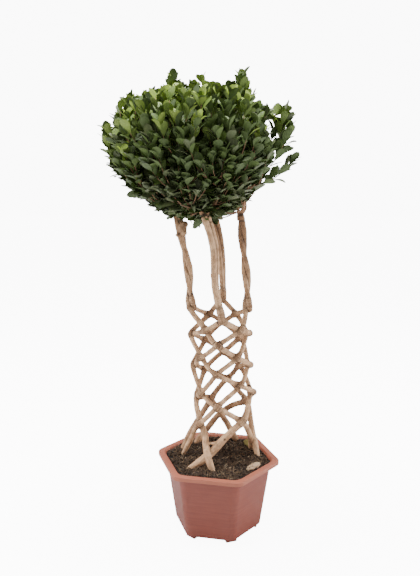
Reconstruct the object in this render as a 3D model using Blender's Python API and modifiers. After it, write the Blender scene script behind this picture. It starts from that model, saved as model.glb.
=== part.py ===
"""Potted ficus with a woven trunk: eight thin stems plaited into an open lattice.

Metres, +Z up. The plant stands on the floor at z = 0. Around the lattice, angles are
measured from the front (-Y) and grow towards the right (+X). Along a stem, the ring
number t counts the crossings: 0 is the fork where a column opens into the lattice, 7 is
the last full ring, and -1 is the top of the column, just under the crown.
"""

import math

import bmesh
import bpy
import numpy as np
from mathutils import Matrix, Vector
from mathutils.bvhtree import BVHTree

# Clearances
GAP = 0.0003
CROSSING_GAP = 0.0013

# Pot: a six-sided tub, radii measured to its corners
POT_SIDES = 6
POT_TURN = math.radians(-11.5)
POT_HEIGHT = 0.171
POT_RIM_RADIUS = 0.1505
POT_TOP_RADIUS = 0.1315
POT_BASE_RADIUS = 0.1076
POT_WALL = 0.0033
POT_LIP_HEIGHT = 0.0095
POT_LIP_WALL = 0.0032
POT_RIM_MOUTH = 0.1345
POT_EDGE = 0.0015
POT_CORNER = 0.010
FOOT_HEIGHT = 0.008
FOOT_SIZE = (0.016, 0.030)
FOOT_INSET = 0.0095

# Soil
SOIL_TOP = 0.164

# Lattice: where its axis runs, how wide it is, and how high each ring of crossings lies
RING_HEIGHTS = (0.525, 0.498, 0.468, 0.434, 0.392, 0.358, 0.319, 0.2745)
LAST_RING = len(RING_HEIGHTS) - 1
LATTICE_TURN = -6.4
AXIS_X = ((0.0, 0.0065), (3.0, 0.0055), (6.0, 0.0130), (9.0, 0.0147))
AXIS_Y = ((0.0, 0.0111), (9.0, 0.0302))
LATTICE_RADIUS = ((0.0, 0.0620), (4.0, 0.0600), (8.0, 0.0680))
RING_TILT_X = 0.068
RING_TILT_Y = -0.205
CHORD_DIP = 0.03

# How far a crossing stands off its even place, in x and z, by ring and eighth of the turn
PULLS = {
    (0, 0): (0.0100, 0.001), (0, 6): (-0.0060, 0.008), (1, 1): (0.0040, -0.003),
    (1, 3): (-0.0130, -0.004), (1, 5): (0.0105, -0.001), (1, 7): (0.0130, -0.004),
    (2, 2): (0.0035, 0.000), (2, 6): (-0.0050, 0.000), (3, 1): (-0.0020, -0.004),
    (3, 7): (0.0020, -0.005), (4, 0): (-0.0055, 0.005), (4, 2): (0.0060, -0.003),
    (4, 6): (-0.0025, -0.001), (5, 1): (0.0000, 0.005), (5, 3): (-0.0065, 0.005),
    (5, 5): (-0.0060, 0.000), (5, 7): (-0.0020, -0.016), (6, 0): (-0.0070, 0.002),
    (6, 2): (0.0050, 0.002), (6, 4): (0.0060, 0.002), (6, 6): (0.0050, -0.009),
    (7, 1): (0.0000, 0.001), (7, 3): (0.0040, -0.005), (7, 5): (0.0090, 0.003),
    (7, 7): (-0.0060, -0.008),
}
PULL_FADES = 0.5
PULL_ENDS = 0.75

# Stems
STEM_RADIUS = 0.0057
STEM_FOOT_RADIUS = 0.0088
STEM_THICKENS_FROM = 5.5
KNOT_SWELL = 0.0009
KNOT_LENGTH = 0.16
WEAVE_SHARPNESS = 0.6
STEM_RESOLUTION = 2
COLUMN_RESOLUTION = 1
BOUGH_RESOLUTION = 1
POINTS_PER_RING = 3
STEM_CUTS = (("upper", 0.0, 2.5), ("middle", 2.5, 5.5), ("foot", 5.5, None))
FOOT_OVERRUN = 1.10
FOOT_SPREAD = 1.6
LEAD_IN = 0.005

# Columns over the lattice: two stems twisted together
COLUMN_TOP = 0.745
COLUMN_LEAN_X = -0.116
COLUMN_LEAN_Y = -0.055
COLUMN_TOP_RADIUS = 0.0720
COLUMN_STRAND_RADIUS = 0.0055
COLUMN_POINTS = 11

# Crown: a bowl whose half width at each height follows the photo's outline
CROWN_X = -0.037
CROWN_Y = 0.0
CROWN_FOCUS_Z = 0.735
CROWN_PROFILE = (
    (0.725, 0.060), (0.745, 0.105), (0.790, 0.158), (0.840, 0.194), (0.890, 0.219),
    (0.940, 0.219), (0.985, 0.205), (1.020, 0.178), (1.045, 0.130), (1.056, 0.0),
)
TALL_SHOOTS = (
    (-0.105, 0.010, 1.066), (0.056, -0.015, 1.066), (-0.200, -0.030, 1.006),
    (0.160, 0.020, 0.992), (0.178, -0.020, 0.902), (-0.268, 0.010, 0.880),
    (-0.030, 0.150, 1.040), (0.080, 0.140, 1.030), (-0.130, 0.145, 1.020),
    (-0.020, -0.028, 1.058), (-0.058, 0.020, 1.052), (-0.010, 0.022, 1.040),
)

# Masses of foliage: eight round the outside, one for each strand, and four on top
SIDE_SEED = (0.130, 0.850)
TOP_SEED = (0.062, 0.985)
SIDE_SPREAD = 22.5
CELL_MARGIN = 0.0004

# Boughs
BOUGH_RADII = (0.0050, 0.0032)
LEADER_RADII = (0.0040, 0.0028)
BOUGH_POINTS = 4
BOUGH_PULL = 0.45
BOUGH_FLARE = 0.7
SIDE_BOUGH_END = (0.098, 0.782)
LEADER_END = (0.050, 0.880)
LEADER_START_DROP = 0.006
LEADER_ROOM = 0.0035

# Twigs
TWIG_SIDES = 3
STEM_TWIG_RADII = (0.0030, 0.0016)
SHOOT_RADII = (0.0017, 0.0009)
SHOOT_COUNT = 80
SHOOT_STEPS = 2
SHOOT_CHECKS = 4
SHOOT_LOW = math.radians(2.0)
SHOOT_SPREAD = 0.18
SHOOT_SAG = 0.12
STEM_JOINTS = (1.3, 3.9)
TIP_ROOM = 0.044
LIMB_CLEARANCE = 0.0042

# Leaves, flattened solids of eight faces
LEAF_LENGTH = 0.058
LEAF_WIDTH = 0.033
LEAF_THICKNESS = 0.0011
LEAF_FOLD = 0.0030
LEAF_WIDEST = 0.62
LEAF_THICKEST = 0.36
LEAF_SPACING = 0.0225
LEAF_FIRST = 0.36
LEAF_LEAN = math.radians(52.0)
ROSETTE = 3
ROSETTE_LEAN = math.radians(30.0)
ROSETTE_STEP = 0.004
LEAF_TRIES = 5
LEAF_TURN = math.radians(29.0)
LEAF_SIZES = (1.0, 0.75)
LEAF_ROWS = 8
LEAF_LIFT = Vector((0.0, 0.0, 0.18))
LEAF_ROOM = (Vector((0.0, 0.0, 0.004)), Vector((0.0, 0.0, -0.002)))
GOLDEN_TURN = math.radians(137.508)
GOLDEN_SHARE = 0.618
FIRST_TURN = 1.7

# The middle of the whole plant's footprint stands at the world's origin
FOOTPRINT_X = 0.0345
FOOTPRINT_Y = 0.004

# Each column: its angle, the feet of its two stems, how far out and how thick they stand,
# where the weave is held, the half twists, and the bow in x, once and twice over its height
COLUMNS = {
    "front": {
        "angle": 0.0, "foot_a": -16.0, "foot_b": -43.0, "reach_a": 0.099, "reach_b": 0.114,
        "girth_a": 1.05, "girth_b": 1.20, "hold": 1.4, "twists": 0.35, "bow": (0.0065, -0.0055),
    },
    "right": {
        "angle": 90.0, "foot_a": 98.0, "foot_b": 74.0, "reach_a": 0.074, "reach_b": 0.084,
        "girth_a": 0.80, "girth_b": 0.88, "hold": 0.0, "twists": 2.5, "bow": (0.0008, 0.0018),
    },
    "back": {
        "angle": 180.0, "foot_a": 237.0, "foot_b": 151.0, "reach_a": 0.083, "reach_b": 0.074,
        "girth_a": 1.00, "girth_b": 0.95, "hold": 1.4, "twists": 0.5, "bow": (0.0072, -0.001),
    },
    "left": {
        "angle": 270.0, "foot_a": 262.0, "foot_b": 277.0, "reach_a": 0.104, "reach_b": 0.100,
        "girth_a": 0.78, "girth_b": 0.74, "hold": 0.5, "twists": 2.2, "bow": (0.001, 0.0),
    },
}
FAMILIES = {"a": 1.0, "b": -1.0}

COLOURS = {
    "pot": ((0.50, 0.155, 0.095, 1.0), 0.55),
    "soil": ((0.035, 0.022, 0.014, 1.0), 0.95),
    "bark": ((0.48, 0.35, 0.235, 1.0), 0.85),
    "bough_bark": ((0.26, 0.15, 0.09, 1.0), 0.85),
    "foliage": ((0.055, 0.115, 0.028, 1.0), 0.50),
}


def clear_scene():
    """Remove what the startup file holds."""
    for obj in list(bpy.data.objects):
        bpy.data.objects.remove(obj, do_unlink=True)


def new_collection(name):
    """A collection of this name under the scene."""
    collection = bpy.data.collections.new(name)
    bpy.context.scene.collection.children.link(collection)
    return collection


def new_material(name):
    """A plain finish with the colour and roughness listed for it."""
    colour, roughness = COLOURS[name]
    material = bpy.data.materials.new(name)
    material.use_nodes = True
    shader = material.node_tree.nodes["Principled BSDF"]
    shader.inputs["Base Color"].default_value = colour
    shader.inputs["Roughness"].default_value = roughness
    shader.inputs["Metallic"].default_value = 0.0
    material.diffuse_color = colour
    return material


def interpolate(x, stations):
    """The value at x of a line through (x, value) stations."""
    return float(np.interp(x, [s[0] for s in stations], [s[1] for s in stations]))


def ease(x):
    """A smooth step from 0 to 1 for x from 0 to 1."""
    x = min(max(x, 0.0), 1.0)
    return x * x * (3.0 - 2.0 * x)


def outward(degrees):
    """The level direction at this angle round the plant."""
    angle = math.radians(degrees)
    return Vector((math.sin(angle), -math.cos(angle), 0.0))


def mesh_object(name, mesh, collection, material):
    """A new object that shows this mesh in this material."""
    obj = bpy.data.objects.new(name, mesh)
    collection.objects.link(obj)
    mesh.materials.clear()
    mesh.materials.append(material)
    return obj


def curve_to_mesh(obj):
    """The mesh of a curve object in world space, with its caps welded on; the curve is removed."""
    bpy.context.view_layer.update()
    evaluated = obj.evaluated_get(bpy.context.evaluated_depsgraph_get())
    mesh = bpy.data.meshes.new_from_object(evaluated)
    mesh.transform(obj.matrix_world)
    curve = obj.data
    bpy.data.objects.remove(obj, do_unlink=True)
    bpy.data.curves.remove(curve)
    work = bmesh.new()
    work.from_mesh(mesh)
    bmesh.ops.remove_doubles(work, verts=work.verts, dist=1e-6)
    bmesh.ops.recalc_face_normals(work, faces=work.faces)
    work.to_mesh(mesh)
    work.free()
    return mesh


def round_tube(points, radii, collection, section=STEM_RESOLUTION):
    """The mesh of a tapering tube, round, or with the section of a guide object."""
    curve = bpy.data.curves.new("tube", "CURVE")
    curve.dimensions = "3D"
    curve.use_fill_caps = True
    depth = max(radii)
    if isinstance(section, int):
        curve.bevel_depth = depth
        curve.bevel_resolution = section
    else:
        curve.bevel_mode = "OBJECT"
        curve.bevel_object = section
        depth = 1.0
    spline = curve.splines.new("POLY")
    spline.points.add(len(points) - 1)
    for point, place, radius in zip(spline.points, points, radii):
        point.co = (*place, 1.0)
        point.radius = radius / depth
    obj = bpy.data.objects.new("tube", curve)
    collection.objects.link(obj)
    return curve_to_mesh(obj)


def shade_round(mesh):
    """Smooth shading that keeps cut ends and edges crisp."""
    mesh.shade_smooth()
    mesh.set_sharp_from_angle(angle=math.radians(40.0))


# Pot and soil


def pot_profile():
    """Half section of the tub, from the middle of its floor, over the rim, to its underside."""
    floor = FOOT_HEIGHT + POT_WALL
    lip_top = POT_HEIGHT - POT_WALL
    lip_bottom = POT_HEIGHT - POT_LIP_HEIGHT
    return (
        (0.0, floor),
        (POT_BASE_RADIUS - POT_WALL, floor),
        (POT_TOP_RADIUS - POT_WALL, lip_bottom),
        (POT_RIM_MOUTH - POT_EDGE, POT_HEIGHT - POT_EDGE),
        (POT_RIM_MOUTH, POT_HEIGHT),
        (POT_RIM_RADIUS - POT_EDGE, POT_HEIGHT),
        (POT_RIM_RADIUS, POT_HEIGHT - POT_EDGE),
        (POT_RIM_RADIUS, lip_bottom),
        (POT_RIM_RADIUS - POT_LIP_WALL, lip_bottom),
        (POT_RIM_RADIUS - POT_LIP_WALL, lip_top),
        (POT_TOP_RADIUS, lip_top),
        (POT_BASE_RADIUS, FOOT_HEIGHT),
        (0.0, FOOT_HEIGHT),
    )


def inner_radius(height):
    """Corner radius of the tub's inner wall at this height."""
    floor = FOOT_HEIGHT + POT_WALL
    lip_bottom = POT_HEIGHT - POT_LIP_HEIGHT
    share = (height - floor) / (lip_bottom - floor)
    return POT_BASE_RADIUS - POT_WALL + share * (POT_TOP_RADIUS - POT_BASE_RADIUS)


def six_sided(name, profile, corner, collection, material):
    """Turn a half section in six steps and round the upright corners."""
    guide = bpy.data.meshes.new(name)
    edges = [(i, i + 1) for i in range(len(profile) - 1)]
    guide.from_pydata([(r, 0.0, z) for r, z in profile], edges, [])
    obj = bpy.data.objects.new(name, guide)
    collection.objects.link(obj)
    screw = obj.modifiers.new("turn", "SCREW")
    screw.steps = POT_SIDES
    screw.render_steps = POT_SIDES
    screw.use_merge_vertices = True
    screw.merge_threshold = 1e-5
    bpy.context.view_layer.update()
    evaluated = obj.evaluated_get(bpy.context.evaluated_depsgraph_get())
    mesh = bpy.data.meshes.new_from_object(evaluated)
    bpy.data.objects.remove(obj, do_unlink=True)
    work = bmesh.new()
    work.from_mesh(mesh)
    bmesh.ops.remove_doubles(work, verts=work.verts, dist=1e-6)
    corners = []
    for edge in work.edges:
        first, second = (Vector((v.co.x, v.co.y)) for v in edge.verts)
        along = min(first.length, second.length)
        same_side = along > 0.02 and first.angle(second) < 0.01
        if same_side and edge.calc_face_angle(0.0) > 0.1:
            corners.append(edge)
    bmesh.ops.bevel(
        work, geom=corners, offset=corner, offset_type="OFFSET", segments=2,
        profile=0.5, affect="EDGES", clamp_overlap=True,
    )
    bmesh.ops.rotate(work, verts=work.verts, matrix=Matrix.Rotation(POT_TURN, 3, "Z"))
    bmesh.ops.dissolve_limit(work, angle_limit=1e-3, verts=work.verts, edges=work.edges)
    bmesh.ops.recalc_face_normals(work, faces=work.faces)
    if work.calc_volume(signed=True) < 0.0:
        bmesh.ops.reverse_faces(work, faces=work.faces)
    work.to_mesh(mesh)
    work.free()
    mesh.name = name
    return mesh_object(name, mesh, collection, material)


def make_pot(collection, guides, material):
    """The tub with its hollow lip, standing on six small feet."""
    pot = six_sided("pot", pot_profile(), POT_CORNER, collection, material)
    long, wide = FOOT_SIZE
    height = FOOT_HEIGHT + POT_WALL / 2
    reach = POT_BASE_RADIUS - FOOT_INSET - long / 2
    feet = []
    for index in range(POT_SIDES):
        work = bmesh.new()
        bmesh.ops.create_cube(work, size=1.0)
        bmesh.ops.scale(work, verts=work.verts, vec=(long, wide, height))
        bmesh.ops.translate(work, verts=work.verts, vec=(reach, 0.0, height / 2))
        turn = Matrix.Rotation(POT_TURN + index * math.tau / POT_SIDES, 3, "Z")
        bmesh.ops.rotate(work, verts=work.verts, matrix=turn)
        foot = bpy.data.meshes.new(f"pot_foot_{index}")
        work.to_mesh(foot)
        work.free()
        feet.append(foot)
    join_pieces(pot, feet, guides, in_turn=True)
    pot.data.materials.clear()
    pot.data.materials.append(material)
    return pot


def make_soil(collection, material):
    """The root ball's soil, from the tub's floor to its level top."""
    floor = FOOT_HEIGHT + POT_WALL + GAP
    side_gap = GAP / math.cos(math.pi / POT_SIDES) * 1.1
    profile = (
        (0.0, SOIL_TOP),
        (inner_radius(SOIL_TOP) - side_gap, SOIL_TOP),
        (inner_radius(floor) - side_gap, floor),
        (0.0, floor),
    )
    return six_sided("soil", profile, POT_CORNER, collection, material)


# Stems


def axis_at(t, height):
    """The lattice's middle at ring number t and this height."""
    return Vector((interpolate(t, AXIS_X), interpolate(t, AXIS_Y), height))


class Stem:
    """One of the eight stems: its path and thickness along the ring number t."""

    def __init__(self, column, family):
        self.column = column
        self.family = family
        self.hand = FAMILIES[family]
        spec = COLUMNS[column]
        self.start = spec["angle"] + LATTICE_TURN
        self.reach = spec["reach_" + family]
        self.girth = spec["girth_" + family]
        self.hold = spec["hold"]
        self.turning = math.pi * spec["twists"]
        self.bow = spec["bow"]
        last = self.start + self.hand * 45.0 * LAST_RING
        self.last = last
        spans = {}
        for name, hand in FAMILIES.items():
            ring = self.start + hand * 45.0 * LAST_RING
            foot = spec["foot_" + name]
            foot += 360.0 * round((ring - foot) / 360.0)
            spans[name] = foot - ring
        self.span = spans[family]
        self.crossing = 90.0 / (spans["a"] - spans["b"])
        self.foot = LAST_RING + 1.0 / self.crossing
        self.near = interpolate(LAST_RING, LATTICE_RADIUS)
        self.spread = FOOT_SPREAD
        if self.crossing < 1.0:
            least = min(spec["reach_a"], spec["reach_b"]) - self.near
            later = math.log(least / (self.reach - self.near)) / math.log(self.crossing)
            self.spread += later

    def base_radius(self, t):
        """Thickness without the knots."""
        if t < 0.0:
            return STEM_RADIUS + (COLUMN_STRAND_RADIUS - STEM_RADIUS) * ease(-4.0 * t)
        grown = max(0.0, (t - STEM_THICKENS_FROM) / (self.foot - STEM_THICKENS_FROM))
        return STEM_RADIUS + (STEM_FOOT_RADIUS * self.girth - STEM_RADIUS) * grown ** 1.4

    def radius(self, t):
        """Half the stem's thickness at t, swollen where it is grafted to a neighbour."""
        knot = min(max(round(t), 0), LAST_RING)
        swell = KNOT_SWELL * math.exp(-(((t - knot) / KNOT_LENGTH) ** 2))
        return self.base_radius(t) + swell

    def weave(self, t):
        """How far the stem stands in or out of the lattice's wall."""
        if t < 0.0:
            step = self.turning / COLUMN_POINTS
            room = ease(-t * COLUMN_POINTS) * (1.0 / math.cos(step / 2) - 1.0)
            return (self.radius(t) + CROSSING_GAP / 2) * (1.0 + room)
        return self.base_radius(t) + KNOT_SWELL + CROSSING_GAP / 2

    def ring_pull(self, ring):
        """How far the crossing at this ring stands off its even place."""
        eighth = round(self.start - LATTICE_TURN + self.hand * 45.0 * ring) // 45 % 8
        across, up = PULLS.get((ring, eighth), (0.0, 0.0))
        return Vector((across, 0.0, up))

    def pull(self, t):
        """How far the stem stands off its even place at ring number t."""
        if t < 0.0:
            return self.ring_pull(0) * (1.0 - ease(-t / PULL_FADES))
        if t >= LAST_RING:
            return self.ring_pull(LAST_RING) * (1.0 - ease((t - LAST_RING) / PULL_ENDS))
        ring = int(t)
        return self.ring_pull(ring).lerp(self.ring_pull(ring + 1), t - ring)

    def point(self, t):
        """The middle of the stem at ring number t."""
        if t < 0.0:
            return self.column_point(-t)
        if t <= LAST_RING:
            angle = self.start + self.hand * 45.0 * t
            height = float(np.interp(t, range(len(RING_HEIGHTS)), RING_HEIGHTS))
            wall = interpolate(t, LATTICE_RADIUS)
            swing = t
        else:
            share = (t - LAST_RING) * self.crossing
            angle = self.last + self.span * share
            fall = RING_HEIGHTS[-1] - SOIL_TOP
            height = RING_HEIGHTS[-1] - fall * (0.5 * share + 0.5 * share * share)
            wall = self.near + (self.reach - self.near) * share ** self.spread
            swing = min(t, LAST_RING + self.hold)
        settle = 1.0 - max(0.0, t - LAST_RING) * self.crossing
        settle = max(settle, 0.0)
        way = outward(angle)
        height += settle * wall * (RING_TILT_X * way.x - RING_TILT_Y * way.y)
        wall *= 1.0 - CHORD_DIP * math.sin(math.pi * t) ** 2
        wave = math.cos(math.pi * swing)
        wave = math.copysign(abs(wave) ** WEAVE_SHARPNESS, wave)
        off = wall + self.hand * self.weave(t) * wave
        return axis_at(t, height) + way * off + self.pull(t)

    def column_point(self, share):
        """The strand's middle in the twisted column, from the fork (0) to the top (1)."""
        way = outward(self.start)
        wall = interpolate(0.0, LATTICE_RADIUS)
        low = axis_at(0.0, RING_HEIGHTS[0]) + way * wall
        low.z += wall * (RING_TILT_X * way.x - RING_TILT_Y * way.y)
        rise = COLUMN_TOP - RING_HEIGHTS[0]
        high = axis_at(0.0, COLUMN_TOP) + outward(self.start) * COLUMN_TOP_RADIUS
        high += Vector((COLUMN_LEAN_X * rise, COLUMN_LEAN_Y * rise, 0.0))
        middle = low.lerp(high, share) + self.pull(-share)
        once, twice = self.bow
        middle.x += once * math.sin(math.pi * share) + twice * math.sin(math.tau * share)
        twist = self.turning * share
        across = Vector((-way.y, way.x, 0.0))
        offset = way * math.cos(twist) - across * math.sin(twist)
        return middle + offset * self.hand * self.weave(-share)

    def heading(self, t):
        """The direction of growing t."""
        step = 0.02
        low = max(t - step, -1.0)
        return (self.point(t + step) - self.point(low)).normalized()

    def run(self, start, end, steps):
        """Points and radii from start to end, with a straight lead at each cut."""
        grid = [i / steps for i in range(math.ceil(start * steps), math.ceil(end * steps))]
        inner = [t for t in grid if start + 0.4 / steps < t < end - 0.4 / steps]
        first, last = self.point(start), self.point(end)
        ahead, back = self.heading(start), self.heading(end)
        points = [first + ahead * GAP / 2, first + ahead * LEAD_IN]
        points += [self.point(t) for t in inner]
        points += [last - back * LEAD_IN, last - back * GAP / 2]
        radii = [self.radius(start)] * 2
        radii += [self.radius(t) for t in inner]
        radii += [self.radius(end)] * 2
        return points, radii


def cut_level(mesh, height):
    """Cut a mesh flat at this height and close it, keeping what is above."""
    work = bmesh.new()
    work.from_mesh(mesh)
    geometry = list(work.verts) + list(work.edges) + list(work.faces)
    cut = bmesh.ops.bisect_plane(
        work, geom=geometry, dist=1e-6, plane_co=(0.0, 0.0, height),
        plane_no=(0.0, 0.0, 1.0), clear_inner=True,
    )
    rim = [e for e in cut["geom_cut"] if isinstance(e, bmesh.types.BMEdge)]
    bmesh.ops.holes_fill(work, edges=rim, sides=0)
    bmesh.ops.recalc_face_normals(work, faces=work.faces)
    work.to_mesh(mesh)
    work.free()


def make_stems(collection, material):
    """The lattice in three lengths a stem, and the twisted columns over it."""
    stems = [Stem(column, family) for column in COLUMNS for family in FAMILIES]
    for stem in stems:
        name = f"{stem.column}_{stem.family}"
        for part, start, end in STEM_CUTS:
            stop = end if end is not None else LAST_RING + FOOT_OVERRUN / stem.crossing
            mesh = round_tube(*stem.run(start, stop, POINTS_PER_RING), collection)
            if end is None:
                cut_level(mesh, SOIL_TOP + GAP)
            shade_round(mesh)
            mesh_object(f"stem_{name}_{part}", mesh, collection, material)
        run = stem.run(-1.0, 0.0, COLUMN_POINTS)
        mesh = round_tube(*run, collection, COLUMN_RESOLUTION)
        shade_round(mesh)
        mesh_object(f"column_{name}", mesh, collection, material)
    return stems


# Boughs


def bezier(start, control, end, share):
    """A point of the curve that leaves start towards control and arrives at end."""
    return start.lerp(control, share).lerp(control.lerp(end, share), share)


class Limb:
    """A tapering limb that leaves its start straight, bends, and runs on to its tip."""

    def __init__(self, name, start, heading, bend, end, radii):
        self.name = name
        self.end = end
        first = start + heading * LEAD_IN
        control = first + bend.normalized() * (end - first).length * BOUGH_PULL
        shares = [i / BOUGH_POINTS for i in range(BOUGH_POINTS + 1)]
        self.points = [start] + [bezier(first, control, end, s) for s in shares]
        thick, thin = radii
        last = len(self.points) - 1
        self.radii = [thick + (thin - thick) * i / last for i in range(last + 1)]

    def heading(self):
        """The direction at the tip."""
        return (self.points[-1] - self.points[-2]).normalized()


def crown_point(degrees, reach, height):
    """A point of the crown by its angle, its distance from the crown's middle and its height."""
    return Vector((CROWN_X, CROWN_Y, height)) + outward(degrees) * reach


class Obstacles:
    """Limbs as straight lengths, to keep other limbs, twigs and leaves clear of them."""

    def __init__(self):
        self.starts = []
        self.ends = []
        self.radii = []

    def add(self, points, radii):
        """Take in a limb by its points and radii."""
        for i in range(len(points) - 1):
            self.starts.append(tuple(points[i]))
            self.ends.append(tuple(points[i + 1]))
            self.radii.append(max(radii[i], radii[i + 1]))

    def clear(self, samples, room):
        """Whether every sample is at least this far from each limb's surface."""
        starts = np.array(self.starts)
        along = np.array(self.ends) - starts
        samples = np.array(samples)[:, None, :]
        share = ((samples - starts) * along).sum(2) / (along * along).sum(1)
        nearest = starts + np.clip(share, 0.0, 1.0)[:, :, None] * along
        distance = np.linalg.norm(samples - nearest, axis=2)
        return bool((distance - np.array(self.radii) > room).all())


def side_bough(stem):
    """The bough that carries one strand on into the outer crown."""
    angle = COLUMNS[stem.column]["angle"] - stem.hand * SIDE_SPREAD
    rising = -stem.heading(-1.0)
    start = stem.point(-1.0) + rising * GAP / 2
    bend = rising + outward(angle) * BOUGH_FLARE
    end = crown_point(angle, *SIDE_BOUGH_END)
    return Limb(f"bough_{stem.column}_{stem.family}", start, rising, bend, end, BOUGH_RADII)


def leader(first, second, near):
    """The shoot in the inner groove of a column, pressed against its two strands."""
    angle = COLUMNS[first.column]["angle"]
    middle = (first.point(-1.0) + second.point(-1.0)) / 2
    middle.z -= LEADER_START_DROP
    rising = -(first.heading(-1.0) + second.heading(-1.0)).normalized()
    way = outward(angle + LATTICE_TURN)
    end = crown_point(angle, *LEADER_END)
    inward = COLUMN_STRAND_RADIUS
    while True:
        limb = Limb(f"leader_{first.column}", middle - way * inward, rising, rising, end, LEADER_RADII)
        pairs = zip(limb.points, limb.points[1:])
        samples = [a.lerp(b, i / 8) for a, b in pairs for i in range(9)]
        if near.clear(samples, LEADER_ROOM):
            return limb
        inward += GAP / 2


def make_boughs(stems, collection, material):
    """One bough from each strand's top and one leader in the groove of each column."""
    limbs = {}
    near = Obstacles()
    for stem in stems:
        limb = side_bough(stem)
        limbs[f"{stem.column}_{stem.family}"] = limb
        near.add(limb.points, limb.radii)
        near.add(*stem.run(-1.0, 0.0, COLUMN_POINTS))
    for first, second in zip(stems[::2], stems[1::2]):
        limbs[f"top_{first.column}"] = leader(first, second, near)
    for limb in limbs.values():
        mesh = round_tube(limb.points, limb.radii, collection, BOUGH_RESOLUTION)
        shade_round(mesh)
        mesh_object(limb.name, mesh, collection, material)
    return limbs


# Foliage


class Cells:
    """Each mass owns the space that is nearer to its seed than to any other."""

    def __init__(self, limbs):
        self.names = list(limbs)
        seeds = []
        for name in self.names:
            column, _, family = name.rpartition("_")
            if column == "top":
                place = crown_point(COLUMNS[family]["angle"], *TOP_SEED)
            else:
                angle = COLUMNS[column]["angle"] - FAMILIES[family] * SIDE_SPREAD
                place = crown_point(angle, *SIDE_SEED)
            seeds.append(place)
        self.seeds = np.array(seeds)

    def owner(self, point):
        """The name of the mass whose space holds this point."""
        apart = np.linalg.norm(self.seeds - np.array(point), axis=1)
        return self.names[int(apart.argmin())]

    def holds(self, name, points):
        """Whether all the points lie inside the mass's space by the margin."""
        index = self.names.index(name)
        own = self.seeds[index]
        points = np.array(points)[:, None, :]
        others = np.delete(self.seeds, index, axis=0)
        apart = np.linalg.norm(others - own, axis=1)
        near = ((points - own) ** 2).sum(2)
        far = ((points - others) ** 2).sum(2)
        return bool(((far - near) / (2 * apart) > CELL_MARGIN).all())


def crown_reach(way):
    """How far the crown goes from its focus in this direction."""
    focus = Vector((CROWN_X, CROWN_Y, CROWN_FOCUS_Z))
    level = math.hypot(way.x, way.y)
    low, high = 0.0, 0.5
    for _ in range(24):
        middle = (low + high) / 2
        height = focus.z + way.z * middle
        inside = height < CROWN_PROFILE[-1][0]
        if inside and level * middle < interpolate(height, CROWN_PROFILE):
            low = middle
        else:
            high = middle
    return low


def shoot_tips():
    """Where the shoots end: spread evenly over the bowl, then the tall ones."""
    focus = Vector((CROWN_X, CROWN_Y, CROWN_FOCUS_Z))
    tips = []
    for index in range(SHOOT_COUNT):
        rise = math.sin(SHOOT_LOW) + (1.0 - math.sin(SHOOT_LOW)) * (index + 0.5) / SHOOT_COUNT
        level = math.sqrt(1.0 - rise * rise)
        turn = index * GOLDEN_TURN
        way = Vector((level * math.cos(turn), level * math.sin(turn), rise))
        tips.append(focus + way * crown_reach(way))
    tips += [Vector(tip) for tip in TALL_SHOOTS]
    return [tip - (tip - focus).normalized() * TIP_ROOM for tip in tips]


def leaf_mesh(name, root, along, face_up, size):
    """A flattened solid of eight faces, widest towards its tip and folded along its midrib."""
    side = face_up.cross(along).normalized()
    up = along.cross(side)
    work = bmesh.new()
    bmesh.ops.create_uvsphere(work, u_segments=4, v_segments=2, radius=1.0)
    for vert in work.verts:
        x, y, z = vert.co
        if abs(z) > 0.5:
            place = along * LEAF_LENGTH * LEAF_THICKEST
            place += up * math.copysign(LEAF_THICKNESS / 2, z)
        elif abs(x) > 0.5:
            place = along * (LEAF_LENGTH if x > 0 else 0.0)
        else:
            place = along * LEAF_LENGTH * LEAF_WIDEST + up * LEAF_FOLD
            place += side * math.copysign(LEAF_WIDTH / 2, y)
        vert.co = root + place * size
    mesh = bpy.data.meshes.new(name)
    work.to_mesh(mesh)
    work.free()
    return mesh


def leaf_samples(root, along, face_up, size):
    """Points spread over a leaf, close enough that no limb passes between them."""
    side = along.cross(face_up).normalized()
    samples = []
    for i in range(LEAF_ROWS + 1):
        share = i / LEAF_ROWS
        half = LEAF_WIDTH / 2 * min(share / LEAF_WIDEST, (1.0 - share) / (1.0 - LEAF_WIDEST))
        for j in (-1.0, -0.5, 0.0, 0.5, 1.0):
            samples.append(root + (along * LEAF_LENGTH * share + side * half * j) * size)
    return samples


def mesh_tree(mesh):
    """A search tree of the mesh's faces."""
    corners = [vert.co.copy() for vert in mesh.vertices]
    return BVHTree.FromPolygons(corners, [tuple(face.vertices) for face in mesh.polygons])


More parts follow.
